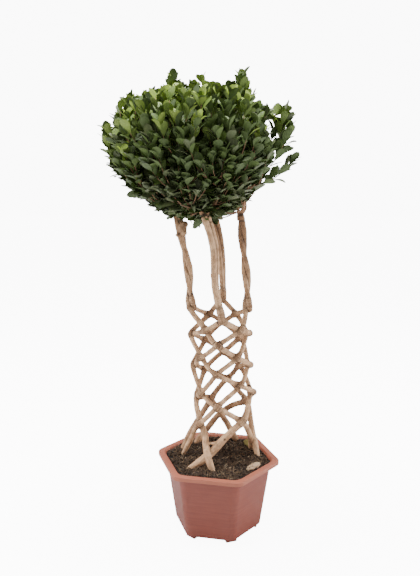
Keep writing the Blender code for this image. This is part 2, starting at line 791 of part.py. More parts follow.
class Mass:
    """One mass of foliage: a short stem, shoots that branch from it, and their leaves."""

    def __init__(self, name, limb, cells, obstacles, tools):
        self.name = name
        self.limb = limb
        self.cells = cells
        self.obstacles = obstacles
        self.collection, self.section = tools
        self.pieces = []
        seed = Vector(cells.seeds[cells.names.index(name)])
        heading = limb.heading()
        self.foot = limb.end + heading * GAP
        control = self.foot + heading * (seed - self.foot).length * BOUGH_PULL
        bend = [bezier(self.foot, control, seed, share) for share in (0.4, 0.7, 1.0)]
        self.stem = [self.foot, self.foot + heading * LEAD_IN] + bend
        self.twigs = []
        self.leaves = []

    def make_stem(self, material):
        """The mass's own stem, which the rest is joined to."""
        thick, thin = STEM_TWIG_RADII
        last = len(self.stem) - 1
        radii = [thick + (thin - thick) * i / last for i in range(last + 1)]
        mesh = round_tube(self.stem, radii, self.collection, self.section)
        self.twigs.append(mesh_tree(mesh))
        return mesh_object(f"foliage_{self.name}", mesh, self.collection, material)

    def shoot(self, index, tip):
        """A twig from the stem towards this tip, cut short where it would leave its space."""
        first, last = STEM_JOINTS
        place = first + (last - first) * ((index * GOLDEN_SHARE) % 1.0)
        joint = int(place)
        start = self.stem[joint].lerp(self.stem[joint + 1], place - joint)
        level = Vector((tip.x - start.x, tip.y - start.y, 0.0))
        sag = Vector((0.0, 0.0, SHOOT_SAG * (tip - start).length))
        control = start.lerp(tip, 0.5) + level * SHOOT_SPREAD - sag
        count = SHOOT_STEPS * SHOOT_CHECKS
        path = [bezier(start, control, tip, i / count) for i in range(count + 1)]
        kept = 0
        while kept < count and self.cells.holds(self.name, [path[kept + 1]]):
            if not self.obstacles.clear([path[kept + 1]], LIMB_CLEARANCE):
                break
            kept += 1
        kept -= kept % SHOOT_STEPS
        if kept < SHOOT_STEPS * 2:
            return None
        points = path[: kept + 1 : kept // SHOOT_STEPS]
        thick, thin = SHOOT_RADII
        radii = [thick + (thin - thick) * i / (len(points) - 1) for i in range(len(points))]
        mesh = round_tube(points, radii, self.collection, self.section)
        self.twigs.append(mesh_tree(mesh))
        self.pieces.append(mesh)
        return points

    def leaf_along(self, index, points, own):
        """Leaves in a spiral up the twig, and a rosette at its end."""
        lengths = [0.0]
        for i in range(len(points) - 1):
            lengths.append(lengths[-1] + (points[i + 1] - points[i]).length)
        total = lengths[-1]
        others = [twig for twig in self.twigs if twig is not own]
        end = points[-1]
        heading = (points[-1] - points[-2]).normalized()
        turn = index * FIRST_TURN
        for i in range(ROSETTE):
            root = end - heading * ROSETTE_STEP * (i + 0.5)
            self.leaf(root, heading, turn, ROSETTE_LEAN, others)
            turn += math.tau / ROSETTE
        place = total - LEAF_SPACING
        while place > total * LEAF_FIRST:
            i = max(j for j in range(len(points) - 1) if lengths[j] <= place)
            share = (place - lengths[i]) / (lengths[i + 1] - lengths[i])
            root = points[i].lerp(points[i + 1], share)
            self.leaf(root, (points[i + 1] - points[i]).normalized(), turn, LEAF_LEAN, others)
            place -= LEAF_SPACING
            turn += GOLDEN_TURN

    def leaf(self, root, heading, turn, lean, others):
        """One leaf, turned a little further or smaller where another is in its way."""
        for size in LEAF_SIZES:
            for step in range(LEAF_TRIES):
                angle = turn + step * LEAF_TURN
                around = Matrix.Rotation(angle, 3, heading) @ heading.orthogonal().normalized()
                along = heading * math.cos(lean) + around * math.sin(lean) + LEAF_LIFT
                face_up = heading * math.sin(lean) - around * math.cos(lean) + LEAF_LIFT * 2.0
                if self.place_leaf(root, along.normalized(), face_up.normalized(), size, others):
                    return

    def place_leaf(self, root, along, face_up, size, others):
        """Put a leaf among the pieces, unless it would leave the space or touch anything."""
        samples = leaf_samples(root, along, face_up, size)
        for lift in LEAF_ROOM:
            if not self.cells.holds(self.name, [p + lift for p in samples]):
                return False
        if not self.obstacles.clear(samples, LIMB_CLEARANCE):
            return False
        mesh = leaf_mesh("leaf", root, along, face_up, size)
        tree = mesh_tree(mesh)
        if any(tree.overlap(other) for other in self.leaves + others):
            bpy.data.meshes.remove(mesh)
            return False
        self.leaves.append(tree)
        self.pieces.append(mesh)
        return True


def solid_volume(faces):
    """Signed volume of a closed set of faces."""
    total = 0.0
    for face in faces:
        corners = [loop.vert.co for loop in face.loops]
        for i in range(1, len(corners) - 1):
            total += corners[0].dot(corners[i].cross(corners[i + 1])) / 6.0
    return total


def keep_largest(mesh):
    """Drop loose scraps and fill sealed hollows, so that one closed skin stays."""
    work = bmesh.new()
    work.from_mesh(mesh)
    bmesh.ops.remove_doubles(work, verts=work.verts, dist=2e-7)
    left = set(work.faces)
    skins = []
    while left:
        skin = set()
        border = [left.pop()]
        while border:
            face = border.pop()
            skin.add(face)
            for edge in face.edges:
                for near in edge.link_faces:
                    if near in left:
                        left.remove(near)
                        border.append(near)
        skins.append(skin)
    best = max(skins, key=solid_volume)
    drop = [face for skin in skins if skin is not best for face in skin]
    bmesh.ops.delete(work, geom=drop, context="FACES")
    work.to_mesh(mesh)
    work.free()


def join_pieces(obj, meshes, guides, in_turn=False):
    """Join the pieces to the object's mesh as one solid, at once or in turn, and remove them."""
    pieces = bpy.data.collections.new("pieces")
    guides.children.link(pieces)
    for mesh in meshes:
        pieces.objects.link(bpy.data.objects.new(mesh.name, mesh))
    for piece in pieces.objects if in_turn else pieces.objects[:1]:
        join = obj.modifiers.new("join", "BOOLEAN")
        join.operation = "UNION"
        if in_turn:
            join.solver = "MANIFOLD"
            join.object = piece
        else:
            join.operand_type = "COLLECTION"
            join.collection = pieces
    bpy.context.view_layer.update()
    evaluated = obj.evaluated_get(bpy.context.evaluated_depsgraph_get())
    joined = bpy.data.meshes.new_from_object(evaluated)
    obj.modifiers.clear()
    obj.data = joined
    for piece in list(pieces.objects):
        used = piece.data
        bpy.data.objects.remove(piece, do_unlink=True)
        bpy.data.meshes.remove(used)
    bpy.data.collections.remove(pieces)


def triangle_guide(collection):
    """A three-sided outline, one metre in radius, that twigs take their section from."""
    curve = bpy.data.curves.new("twig_section", "CURVE")
    spline = curve.splines.new("POLY")
    spline.points.add(TWIG_SIDES - 1)
    spline.use_cyclic_u = True
    for i, point in enumerate(spline.points):
        angle = math.tau * i / TWIG_SIDES
        point.co = (math.cos(angle), math.sin(angle), 0.0, 1.0)
    guide = bpy.data.objects.new("twig_section", curve)
    guide.hide_render = True
    guide.display_type = "WIRE"
    collection.objects.link(guide)
    return guide


def make_foliage(stems, limbs, collection, guides, material):
    """The twelve masses, each joined into one solid inside its own space."""
    obstacles = Obstacles()
    for limb in limbs.values():
        obstacles.add(limb.points, limb.radii)
    for stem in stems:
        obstacles.add(*stem.run(-1.0, 0.0, COLUMN_POINTS))
    cells = Cells(limbs)
    tips = shoot_tips()
    owners = [cells.owner(tip) for tip in tips]
    section = triangle_guide(guides)
    for name, limb in limbs.items():
        mass = Mass(name, limb, cells, obstacles, (collection, section))
        body = mass.make_stem(material)
        shoots = []
        for index, (tip, owner) in enumerate(zip(tips, owners)):
            points = mass.shoot(index, tip) if owner == name else None
            if points:
                shoots.append((index, points, mass.twigs[-1]))
        for shoot in shoots:
            mass.leaf_along(*shoot)
        join_pieces(body, mass.pieces, guides)
        keep_largest(body.data)


def main():
    """Build the plant, sub-part by sub-part."""
    clear_scene()
    plant = new_collection("potted_lattice_ficus")
    guides = new_collection("guides")
    guides.hide_render = True
    materials = {name: new_material(name) for name in COLOURS}
    make_pot(plant, guides, materials["pot"])
    make_soil(plant, materials["soil"])
    stems = make_stems(plant, materials["bark"])
    limbs = make_boughs(stems, plant, materials["bough_bark"])
    make_foliage(stems, limbs, plant, guides, materials["foliage"])
    middle = bpy.data.objects.new("pot_middle", None)
    for obj in plant.objects:
        obj.parent = middle
    plant.objects.link(middle)
    middle.location = (FOOTPRINT_X, FOOTPRINT_Y, 0.0)


main()
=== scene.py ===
"""Dresses the potted ficus with the woven trunk.

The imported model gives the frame. The tub, the soil, the woven trunk and the crown are each
built by a class of their own, in metres, in the frame's world, and every piece rides on the
one body. The middle of the pot stands at POT_MIDDLE. Round the plant, angles are measured
from the front (-Y) and grow towards the right (+X).
"""

import logging
import math
import random
from collections.abc import Callable, Iterable, Iterator, Sequence
from contextlib import contextmanager
from dataclasses import dataclass
from enum import Enum

import bmesh
import bpy
import numpy as np
from mathutils import Matrix, Vector, kdtree, noise


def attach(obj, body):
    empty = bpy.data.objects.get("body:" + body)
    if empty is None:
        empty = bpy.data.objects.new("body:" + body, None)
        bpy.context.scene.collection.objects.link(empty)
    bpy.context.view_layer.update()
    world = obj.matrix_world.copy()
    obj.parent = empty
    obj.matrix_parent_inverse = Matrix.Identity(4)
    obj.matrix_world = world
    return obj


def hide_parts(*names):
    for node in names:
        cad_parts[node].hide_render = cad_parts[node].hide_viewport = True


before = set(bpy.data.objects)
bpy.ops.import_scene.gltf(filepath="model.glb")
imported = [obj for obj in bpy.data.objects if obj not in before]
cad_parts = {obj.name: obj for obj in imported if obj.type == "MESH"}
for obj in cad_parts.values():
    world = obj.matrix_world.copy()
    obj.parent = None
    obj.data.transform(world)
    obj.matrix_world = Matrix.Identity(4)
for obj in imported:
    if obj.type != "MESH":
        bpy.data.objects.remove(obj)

LOG = logging.getLogger("ficus")
BODY = "root"
POT_MIDDLE = Vector((0.0345, 0.004, 0.0))
POT_TURN = math.radians(-11.5)
POT_SIDES = 6
SOIL_TOP = 0.164
GOLDEN_TURN = math.radians(137.508)
NOISE_SEED = 7
Object = bpy.types.Object
Material = bpy.types.Material
Socket = bpy.types.NodeSocket
Pair = tuple[float, float]
Stations = tuple[Pair, ...]


# Small helpers


def interpolate(x: float, stations: Stations) -> float:
    """The value at x of a line through (x, value) stations, held at the ends."""
    return float(np.interp(x, *zip(*stations)))


def ease(x: float) -> float:
    """A smooth step from 0 to 1 for x from 0 to 1."""
    x = min(max(x, 0.0), 1.0)
    return x * x * (3.0 - 2.0 * x)


def outward(degrees: float) -> Vector:
    """The level direction at this angle round the plant."""
    angle = math.radians(degrees)
    return Vector((math.sin(angle), -math.cos(angle), 0.0))


def bezier(start: Vector, control: Vector, end: Vector, share: float) -> Vector:
    """A point of the curve that leaves start towards control and arrives at end."""
    return start.lerp(control, share).lerp(control.lerp(end, share), share)


def taper(ends: Pair, steps: int) -> list[float]:
    """Even steps from one end to the other, both included."""
    return [ends[0] + (ends[1] - ends[0]) * i / steps for i in range(steps + 1)]


def pick(*objs: Object) -> None:
    """Selects these objects alone, or nothing at all.

    Args:
        objs: The objects, the one to make active first.
    """
    bpy.ops.object.select_all(action="DESELECT")
    for obj in objs:
        obj.select_set(True)
    if objs:
        bpy.context.view_layer.objects.active = objs[0]


def added(operator: Callable, **settings: object) -> Object:
    """Runs an operator that adds a mesh, with nothing selected.

    Args:
        operator: Blender's operator.
        settings: Its settings.

    Returns:
        The new object.
    """
    pick()
    operator(**settings)
    return bpy.context.object


def hexagon(fill: str, radius: float, height: float) -> Object:
    """A filled disc with the pot's sides, over the pot's middle.

    Args:
        fill: How the disc is filled.
        radius: Its radius to a corner.
        height: Its height over the ground.

    Returns:
        The disc.
    """
    place, turn = (POT_MIDDLE.x, POT_MIDDLE.y, height), (0.0, 0.0, POT_TURN - math.pi / POT_SIDES)
    return added(
        bpy.ops.mesh.primitive_circle_add, vertices=POT_SIDES, radius=radius, fill_type=fill,
        location=place, rotation=turn,
    )


def settle(obj: Object, name: str) -> Object:
    """Applies the object's place to its mesh and gives both their name.

    Args:
        obj: The piece.
        name: Its plain name.

    Returns:
        The same piece, at the origin, unturned and unscaled.
    """
    pick(obj)
    bpy.ops.object.transform_apply(location=True, rotation=True, scale=True)
    obj.name = obj.data.name = name
    return obj


def smooth(obj: Object) -> Object:
    """Shades the piece smooth and hands it on."""
    pick(obj)
    bpy.ops.object.shade_smooth()
    return obj


def apply_modifier(obj: Object, kind: str, **settings: object) -> None:
    """Adds a modifier and applies it.

    Args:
        obj: The piece.
        kind: Blender's modifier type.
        settings: Values for the modifier's properties.
    """
    pick(obj)
    modifier = obj.modifiers.new(kind.lower(), kind)
    for key, value in settings.items():
        setattr(modifier, key, value)
    bpy.ops.object.modifier_apply(modifier=modifier.name)


def join(name: str, objs: Sequence[Object]) -> Object:
    """Joins several pieces into one under this name."""
    pick(*objs)
    bpy.ops.object.join()
    return settle(objs[0], name)


@contextmanager
def editing(obj: Object) -> Iterator[None]:
    """Edit mode on this piece, all of it selected at first.

    Args:
        obj: The object.
    """
    pick(obj)
    bpy.ops.object.mode_set(mode="EDIT")
    bpy.ops.mesh.select_all(action="SELECT")
    yield
    bpy.ops.object.mode_set(mode="OBJECT")


def select_where(obj: Object, kind: str, test: Callable[..., bool]) -> None:
    """Selects, in edit mode, the edges or faces that pass the test.

    Args:
        obj: The piece in edit mode.
        kind: EDGE or FACE.
        test: Takes one edge or face.
    """
    bpy.ops.mesh.select_mode(type=kind)
    bpy.ops.mesh.select_all(action="DESELECT")
    mesh = bmesh.from_edit_mesh(obj.data)
    for part in mesh.edges if kind == "EDGE" else mesh.faces:
        part.select_set(test(part))
    mesh.select_flush_mode()
    bmesh.update_edit_mesh(obj.data)


def turn_outwards() -> None:
    """Makes all faces of the piece in edit mode face outwards."""
    bpy.ops.mesh.select_all(action="SELECT")
    bpy.ops.mesh.normals_make_consistent(inside=False)


def array_mesh(name: str, points: np.ndarray, faces: np.ndarray, uvs: np.ndarray | None = None) -> Object:
    """Makes one joined mesh of many small things from arrays.

    Args:
        name: The piece's name.
        points: All corners, one row each.
        faces: Corner numbers, one row a face, all faces with as many corners.
        uvs: For each point its place on its own small pattern, if it has one.

    Returns:
        The new piece, in the scene.
    """
    mesh = bpy.data.meshes.new(name)
    mesh.vertices.add(len(points))
    mesh.vertices.foreach_set("co", points.astype(np.float32).ravel())
    mesh.loops.add(faces.size)
    mesh.loops.foreach_set("vertex_index", faces.astype(np.int32).ravel())
    mesh.polygons.add(len(faces))
    mesh.polygons.foreach_set("loop_start", np.arange(len(faces), dtype=np.int32) * faces.shape[1])
    mesh.update(calc_edges=True)
    if uvs is not None:
        layer = mesh.uv_layers.new(name="UVMap")
        layer.data.foreach_set("uv", uvs[faces.ravel()].astype(np.float32).ravel())
    mesh.validate()
    obj = bpy.data.objects.new(name, mesh)
    bpy.context.scene.collection.objects.link(obj)
    return obj


def read_points(obj: Object, what: str = "co") -> np.ndarray:
    """The mesh's corners, or their normals, one row each."""
    points = np.empty(len(obj.data.vertices) * 3, np.float32)
    obj.data.vertices.foreach_get(what, points)
    return points.reshape(-1, 3).astype(float)


def write_points(obj: Object, points: np.ndarray) -> None:
    """Moves the mesh's corners to these rows."""
    obj.data.vertices.foreach_set("co", points.astype(np.float32).ravel())
    obj.data.update()


def add_attribute(obj: Object, name: str, values: np.ndarray) -> None:
    """Stores a number or a row of three on each corner for a material to read."""
    kind, key = ("FLOAT", "value") if values.ndim == 1 else ("FLOAT_VECTOR", "vector")
    layer = obj.data.attributes.new(name, kind, "POINT")
    layer.data.foreach_set(key, values.astype(np.float32).ravel())


# Materials


class Graph:
    """A node tree, with short calls to add nodes and link them."""

    def __init__(self, tree: bpy.types.NodeTree) -> None:
        """Takes the tree that the nodes go into."""
        self.tree = tree

    def feed(self, target: Socket, value: object) -> None:
        """Links a socket to an input, or sets the input's own value.

        Args:
            target: The input.
            value: A socket, a number, a vector, or a colour's three numbers.
        """
        if isinstance(value, Socket):
            self.tree.links.new(value, target)
        else:
            target.default_value = (*value, 1.0) if target.type == "RGBA" else value

    def add(self, kind: str, inputs: dict | None = None, **settings: object) -> bpy.types.Node:
        """Adds a node.

        Args:
            kind: The node's type without the prefix ShaderNode.
            inputs: Sockets or values for its inputs, by number or name.
            settings: Values for its properties.

        Returns:
            The node.
        """
        node = self.tree.nodes.new("ShaderNode" + kind)
        for key, value in settings.items():
            setattr(node, key, value)
        for key, value in (inputs or {}).items():
            self.feed(node.inputs[key], value)
        return node

    def math(self, what: str, first: object, second: object = 0.0) -> Socket:
        """The result of a Math node on two sockets or numbers."""
        return self.add("Math", {0: first, 1: second}, operation=what).outputs[0]

    def times(self, first: object, second: object) -> Socket:
        """The product of two sockets or numbers."""
        return self.math("MULTIPLY", first, second)

    def weigh(self, *parts: tuple[Socket, float]) -> Socket:
        """Adds up sockets.

        Args:
            parts: Sockets, each with its weight.

        Returns:
            The sum of each one times its weight.
        """
        total, *others = [self.times(*part) for part in parts]
        for other in others:
            total = self.math("ADD", total, other)
        return total

    def ramp(self, source: Socket, *stops: tuple[float, tuple]) -> Socket:
        """A colour ramp.

        Args:
            source: What it reads.
            stops: Its two stops, each a place and a colour.

        Returns:
            Its colour.
        """
        node = self.add("ValToRGB", {0: source})
        for element, (place, colour) in zip(node.color_ramp.elements, stops):
            element.position, element.color = place, (*colour, 1.0)
        return node.outputs[0]

    def mix(self, share: object, first: object, second: object) -> Socket:
        """The mix of two colours, with this share of the second."""
        return self.add("Mix", {0: share, 6: first, 7: second}, data_type="RGBA").outputs[2]

    def grain(
        self, vector: Socket, scale: float, contrast: float, stretch: tuple = (1.0, 1.0, 1.0),
    ) -> Socket:
        """The shared grain's mask on these coordinates: how fine, how strong, how squeezed."""
        inputs = {"Vector": vector, "Stretch": stretch, "Scale": scale, "Contrast": contrast}
        return self.add("Group", inputs, node_tree=grain_group()).outputs["Mask"]


def grain_group() -> bpy.types.NodeTree:
    """The stretched noise that every finish here uses for its grain, as a node group.

    Returns:
        The group, made at the first call: Vector, Stretch, Scale and Contrast in, Mask out.
    """
    name = "stretched_grain"
    if name in bpy.data.node_groups:
        return bpy.data.node_groups[name]
    tree = bpy.data.node_groups.new(name, "ShaderNodeTree")
    for title, kind, value in (
        ("Vector", "Vector", (0.0, 0.0, 0.0)), ("Stretch", "Vector", (1.0, 1.0, 1.0)),
        ("Scale", "Float", 100.0), ("Contrast", "Float", 1.0),
    ):
        socket = tree.interface.new_socket(title, in_out="INPUT", socket_type="NodeSocket" + kind)
        socket.default_value = value
    tree.interface.new_socket("Mask", in_out="OUTPUT", socket_type="NodeSocketFloat")
    graph = Graph(tree)
    inside = tree.nodes.new("NodeGroupInput").outputs
    outside = tree.nodes.new("NodeGroupOutput").inputs
    scaled = graph.add("VectorMath", {0: inside["Vector"], 1: inside["Stretch"]}, operation="MULTIPLY")
    inputs = {"Vector": scaled.outputs[0], "Scale": inside["Scale"], "Detail": 4.0, "Roughness": 0.6}
    centred = graph.math("SUBTRACT", graph.add("TexNoise", inputs).outputs["Fac"], 0.5)
    strong = graph.times(centred, inside["Contrast"])
    mask = graph.add("Math", {0: strong, 1: 0.5}, operation="ADD", use_clamp=True)
    graph.feed(outside["Mask"], mask.outputs[0])
    return tree


class Coat(Graph):
    """A new material's graph, with its Principled shader and its piece's own coordinates."""

    def __init__(self, name: str, roughness: float) -> None:
        """Starts the material.

        Args:
            name: Its name.
            roughness: The shader's plain roughness.
        """
        self.material = bpy.data.materials.new(name)
        self.material.use_nodes = True
        super().__init__(self.material.node_tree)
        self.inputs = self.tree.nodes["Principled BSDF"].inputs
        self.feed(self.inputs["Roughness"], roughness)
        self.place = self.add("TexCoord").outputs["Object"]

    def close(self, colour: Socket, height: Socket, depth: float, strength: float) -> Material:
        """Leads a colour and, through a Bump node, a height to the shader.

        Args:
            colour: The base colour.
            height: The relief.
            depth: The relief's depth in metres.
            strength: The bump's strength.

        Returns:
            The material.
        """
        bump = self.add("Bump", {"Strength": strength, "Distance": depth, "Height": height})
        self.feed(self.inputs["Base Color"], colour)
        self.feed(self.inputs["Normal"], bump.outputs["Normal"])
        return self.material


@dataclass(frozen=True)
class TubFinish:
    """Matt terracotta-coloured plastic with faint level streaks from the mould, and a painted highlight:
    above the lip's height it is painted lighter and more orange.
    """

    light: tuple = (0.275, 0.064, 0.038)
    dark: tuple = (0.185, 0.038, 0.024)
    # Painted highlight on the rim: its lighter colour, the height it starts at and how much of it is mixed in
    rim_highlight: tuple = (0.52, 0.175, 0.095)
    rim_highlight_from: float = 0.1618
    rim_highlight_share: float = 0.48

    def build(self) -> Material:
        """Returns the material.

        Returns:
            The material.
        """
        coat = Coat("tub_plastic", 0.52)
        streaks = coat.grain(coat.place, 90.0, 1.5, (0.18, 0.18, 3.2))
        specks = coat.grain(coat.place, 620.0, 2.2, (1.0, 1.0, 1.6))
        clouds = coat.grain(coat.place, 9.0, 1.4)
        tint = coat.weigh((streaks, 0.55), (specks, 0.25), (clouds, 0.30))
        colour = coat.ramp(tint, (0.25, self.dark), (0.85, self.light))
        height = coat.add("SeparateXYZ", {0: coat.place}).outputs[2]
        # Painted highlight: everything above that height is mixed towards the lighter rim colour
        lip = coat.math("GREATER_THAN", height, self.rim_highlight_from)
        return coat.close(coat.mix(coat.times(lip, self.rim_highlight_share), colour, self.rim_highlight), specks, 0.0004, 0.22)


@dataclass(frozen=True)
class SoilFinish:
    """Dark moist mulch, or the chips and fibres that lie on it."""

    name: str = "soil_mulch"
    dark: tuple = (0.006, 0.0035, 0.002)
    light: tuple = (0.050, 0.028, 0.014)
    scale: float = 210.0
    depth: float = 0.003

    def build(self) -> Material:
        """Returns the material.

        Returns:
            The material.
        """
        coat = Coat(self.name, 0.9)
        crumbs = coat.grain(coat.place, self.scale, 2.6)
        both = coat.times(crumbs, coat.grain(coat.place, self.scale / 7.0, 1.8))
        return coat.close(coat.ramp(both, (0.05, self.dark), (0.75, self.light)), crumbs, self.depth, 0.7)


@dataclass(frozen=True)
class TwigFinish:
    """Young bark, reddish brown, or the stone and the dead leaf on the soil."""

    name: str = "young_bark"
    dark: tuple = (0.125, 0.062, 0.034)
    light: tuple = (0.34, 0.185, 0.100)
    scale: float = 260.0

    def build(self) -> Material:
        """Returns the material.

        Returns:
            The material.
        """
        coat = Coat(self.name, 0.75)
        streaks = coat.grain(coat.place, self.scale, 2.0, (1.0, 1.0, 0.35))
        both = coat.weigh((streaks, 0.5), (coat.grain(coat.place, self.scale / 8.0, 1.6), 0.5))
        return coat.close(coat.ramp(both, (0.25, self.dark), (0.8, self.light)), streaks, 0.0006, 0.5)


@dataclass(frozen=True)
class BarkFinish:
    """Bark that follows the stem: pale and ridged below, browner above, ringed at knots, with painted shade
    in its creases, grooves and low spots, where stems meet and on the lattice's back strands.
    """

    pale: tuple = (0.86, 0.55, 0.315)
    tan: tuple = (0.430, 0.235, 0.120)
    brown: tuple = (0.145, 0.066, 0.032)
    # Near black: painted shade in creases and where stems meet, and the real dark of the pruning scars
    shade_and_scar: tuple = (0.032, 0.015, 0.008)

    def build(self) -> Material:
        """Returns the material, which reads the attributes that the skins carry.

        Returns:
            The material.
        """
        coat = Coat("lattice_bark", 0.82)
        along = coat.add("Attribute", attribute_name="along").outputs["Vector"]
        names = ("knot", "hollow", "age", "scar")
        knot, hollow, age, scar = (
            coat.add("Attribute", attribute_name=name).outputs["Fac"] for name in names
        )
        fibres = coat.grain(along, 420.0, 2.0, (1.0, 1.0, 0.14))
        rings = coat.grain(along, 300.0, 2.4, (0.22, 0.22, 1.6))
        dashes = coat.grain(along, 150.0, 1.0, (0.5, 0.5, 1.9))
        tint = coat.weigh((fibres, 0.45), (coat.grain(coat.place, 48.0, 2.0), 0.55))
        low = coat.ramp(tint, (0.30, self.tan), (0.68, self.pale))
        high = coat.ramp(tint, (0.2, self.brown), (0.8, self.tan))
        pits = coat.times(coat.math("GREATER_THAN", dashes, 0.665), 0.45)
        # The mix to brown also carries painted shade: the lattice's back strands are painted browner
        colour = coat.mix(age, low, high)
        for share, darker in (
            (coat.times(knot, rings), self.brown), (pits, self.brown),
            # Painted shade in creases, grooves and where stems meet; the scars are real dark marks
            (hollow, self.shade_and_scar), (scar, self.shade_and_scar),
        ):
            colour = coat.mix(share, colour, darker)
        return coat.close(colour, coat.weigh((fibres, 0.6), (rings, 0.4)), 0.0009, 0.55)


@dataclass(frozen=True)
class LeafFinish:
    """A leathery leaf with a paler midrib, faint side veins and a soft sheen."""

    name: str
    dark: tuple
    light: tuple
    under: tuple
    rib: tuple

    def build(self) -> Material:
        """Returns the material; u of the leaf's own map runs across it and v along it.

        Returns:
            The material.
        """
        coat = Coat(self.name, 0.50)
        coat.feed(coat.inputs["Specular IOR Level"], 0.32)
        spot = coat.add("UVMap", uv_map="UVMap").outputs["UV"]
        across, along = coat.add("SeparateXYZ", {0: spot}).outputs[:2]
        aside = coat.math("ABSOLUTE", coat.math("SUBTRACT", across, 0.5))
        rib = coat.math("MAXIMUM", coat.math("SUBTRACT", 1.0, coat.times(aside, 22.0)), 0.0)
        slant = coat.math("SUBTRACT", coat.times(along, 58.0), coat.times(aside, 46.0))
        veins = coat.math("POWER", coat.math("ABSOLUTE", coat.math("SINE", slant)), 10.0)
        mottle = coat.grain(coat.place, 240.0, 1.4)
        tint = coat.weigh((coat.grain(coat.place, 26.0, 2.2), 0.75), (mottle, 0.25))
        colour = coat.ramp(tint, (0.22, self.dark), (0.82, self.light))
        back = coat.add("NewGeometry").outputs["Backfacing"]
        for part, share, tone in ((veins, 0.16, self.rib), (rib, 0.6, self.rib), (back, 0.7, self.under)):
            colour = coat.mix(coat.times(part, share), colour, tone)
        height = coat.math("SUBTRACT", mottle, coat.math("ADD", coat.times(veins, 0.5), rib))
        return coat.close(colour, height, 0.0005, 0.35)


@dataclass(frozen=True)
class FloorFinish:
    """The studio's pale floor, which the camera sees as bright as the backdrop."""

    colour: tuple = (0.60, 0.60, 0.595)
    lighter: float = 1.02
    glow: float = 10.0

    def build(self) -> Material:
        """Returns the material.

        Returns:
            The material.
        """
        coat = Coat("studio_floor", 0.7)
        clouds = coat.grain(coat.place, 1.5, 0.4)
        lighter = tuple(c * self.lighter for c in self.colour)
        seen = coat.add("LightPath").outputs["Is Camera Ray"]
        coat.feed(coat.inputs["Base Color"], coat.ramp(clouds, (0.0, self.colour), (1.0, lighter)))
        coat.feed(coat.inputs["Emission Color"], (1.0, 1.0, 1.0))
        coat.feed(coat.inputs["Emission Strength"], coat.times(seen, self.glow))
        return coat.material


def dress(piece: Object, material: Material, slot: str, *nodes: str) -> None:
    """Gives a finished piece its material and its body, and hides the CAD nodes that it stands for.

    Args:
        piece: The piece.
        material: Its finish.
        slot: Not used.
        nodes: The CAD nodes that it replaces.
    """
    piece.data.materials.clear()
    piece.data.materials.append(material)
    if nodes:
        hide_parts(*nodes)
    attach(piece, BODY)
    LOG.info("%s: %d faces", piece.name, len(piece.data.polygons))


# The tub and its soil


@dataclass(frozen=True)
class Tub:
    """The six-sided tub with its broad rolled lip and six small feet."""

    base_radius: float = 0.1076
    top_radius: float = 0.1315
    rim_radius: float = 0.1505
    lip_wall: float = 0.0032
    mouth: float = 0.1345
    height: float = 0.171
    foot_height: float = 0.008
    lip_height: float = 0.0095
    corner: float = 0.012
    wall: float = 0.0033
    inner_draft: float = 0.003
    inner_depth: float = 0.022
    step: float = 1e-5
    foot_reach: float = 0.0900
    foot_size: tuple = (0.017, 0.029, 0.009)

    def shell(self) -> Object:
        """Draws the tub's wall up from its base, over the lip and down inside.

        Returns:
            The closed shell.
        """
        under, lip = self.height - self.wall, self.height - self.lip_height
        inner, outer = self.top_radius - self.wall, self.rim_radius - self.lip_wall
        profile = (
            (self.base_radius, self.foot_height), (self.top_radius, under), (outer, under + self.step),
            (outer, lip), (self.rim_radius, lip + self.step), (self.rim_radius, self.height),
            (self.mouth, self.height), (inner, lip),
            (inner - self.inner_draft, SOIL_TOP - self.inner_depth),
        )

        def upright(edge: bmesh.types.BMEdge) -> bool:
            """Whether the edge runs along a corner."""
            one, two = ((end.co - POT_MIDDLE).to_2d() for end in edge.verts)
            return min(one.length, two.length) > 0.03 and one.angle(two) < 0.02

        shell = settle(hexagon("NGON", *profile[0]), "tub")
        with editing(shell):
            bpy.ops.mesh.select_mode(type="FACE")
            for (reached, level), (radius, height) in zip(profile, profile[1:]):
                bpy.ops.mesh.extrude_region_move(TRANSFORM_OT_translate={"value": (0.0, 0.0, height - level)})
                share, middle = radius / reached, (POT_MIDDLE.x, POT_MIDDLE.y, height)
                bpy.ops.transform.resize(value=(share, share, 1.0), center_override=middle)
            select_where(shell, "EDGE", upright)
            bpy.ops.mesh.bevel(offset=self.corner, offset_type="OFFSET", segments=7, affect="EDGES")
            turn_outwards()
        apply_modifier(
            shell, "BEVEL", width=0.0026, segments=4, limit_method="ANGLE", angle_limit=math.radians(38.0),
            harden_normals=False,
        )
        return shell

    def foot(self, index: int) -> Object:
        """One tapered foot, its top sunk into the base.

        Args:
            index: Which corner it stands under.

        Returns:
            The foot.
        """
        foot = added(bpy.ops.mesh.primitive_cube_add, size=1.0, location=(0.0, 0.0, 0.0))
        foot.scale = self.foot_size
        foot.location = (self.foot_reach, 0.0, self.foot_size[2] / 2)
        with editing(settle(foot, "foot")):
            select_where(foot, "FACE", lambda face: face.normal.z < -0.5)
            bpy.ops.transform.resize(value=(0.82, 0.86, 1.0), center_override=(self.foot_reach, 0.0, 0.0))
        apply_modifier(foot, "BEVEL", width=0.0012, segments=2)
        foot.rotation_euler.z = POT_TURN + index * math.tau / POT_SIDES
        foot.location = POT_MIDDLE
        return settle(foot, f"foot_{index}")

    def build(self) -> None:
        """Builds the tub and dresses it."""
        tub = join("tub", [self.shell(), *(self.foot(i) for i in range(POT_SIDES))])
        bpy.ops.object.shade_smooth_by_angle(angle=math.radians(42.0))
        dress(tub, TubFinish().build(), "pot", "pot")


class Scrap(Enum):
    """The kinds of small litter on the soil."""

    CHIP = "chip"
    FIBRE = "fibre"
    STRAW = "straw"


@dataclass(frozen=True)
class Litter:
    """How many bits of one kind there are, their sizes, their tilt and their finish."""

    count: int
    spans: tuple[Pair, Pair, Pair]
    tilt: float
    look: SoilFinish


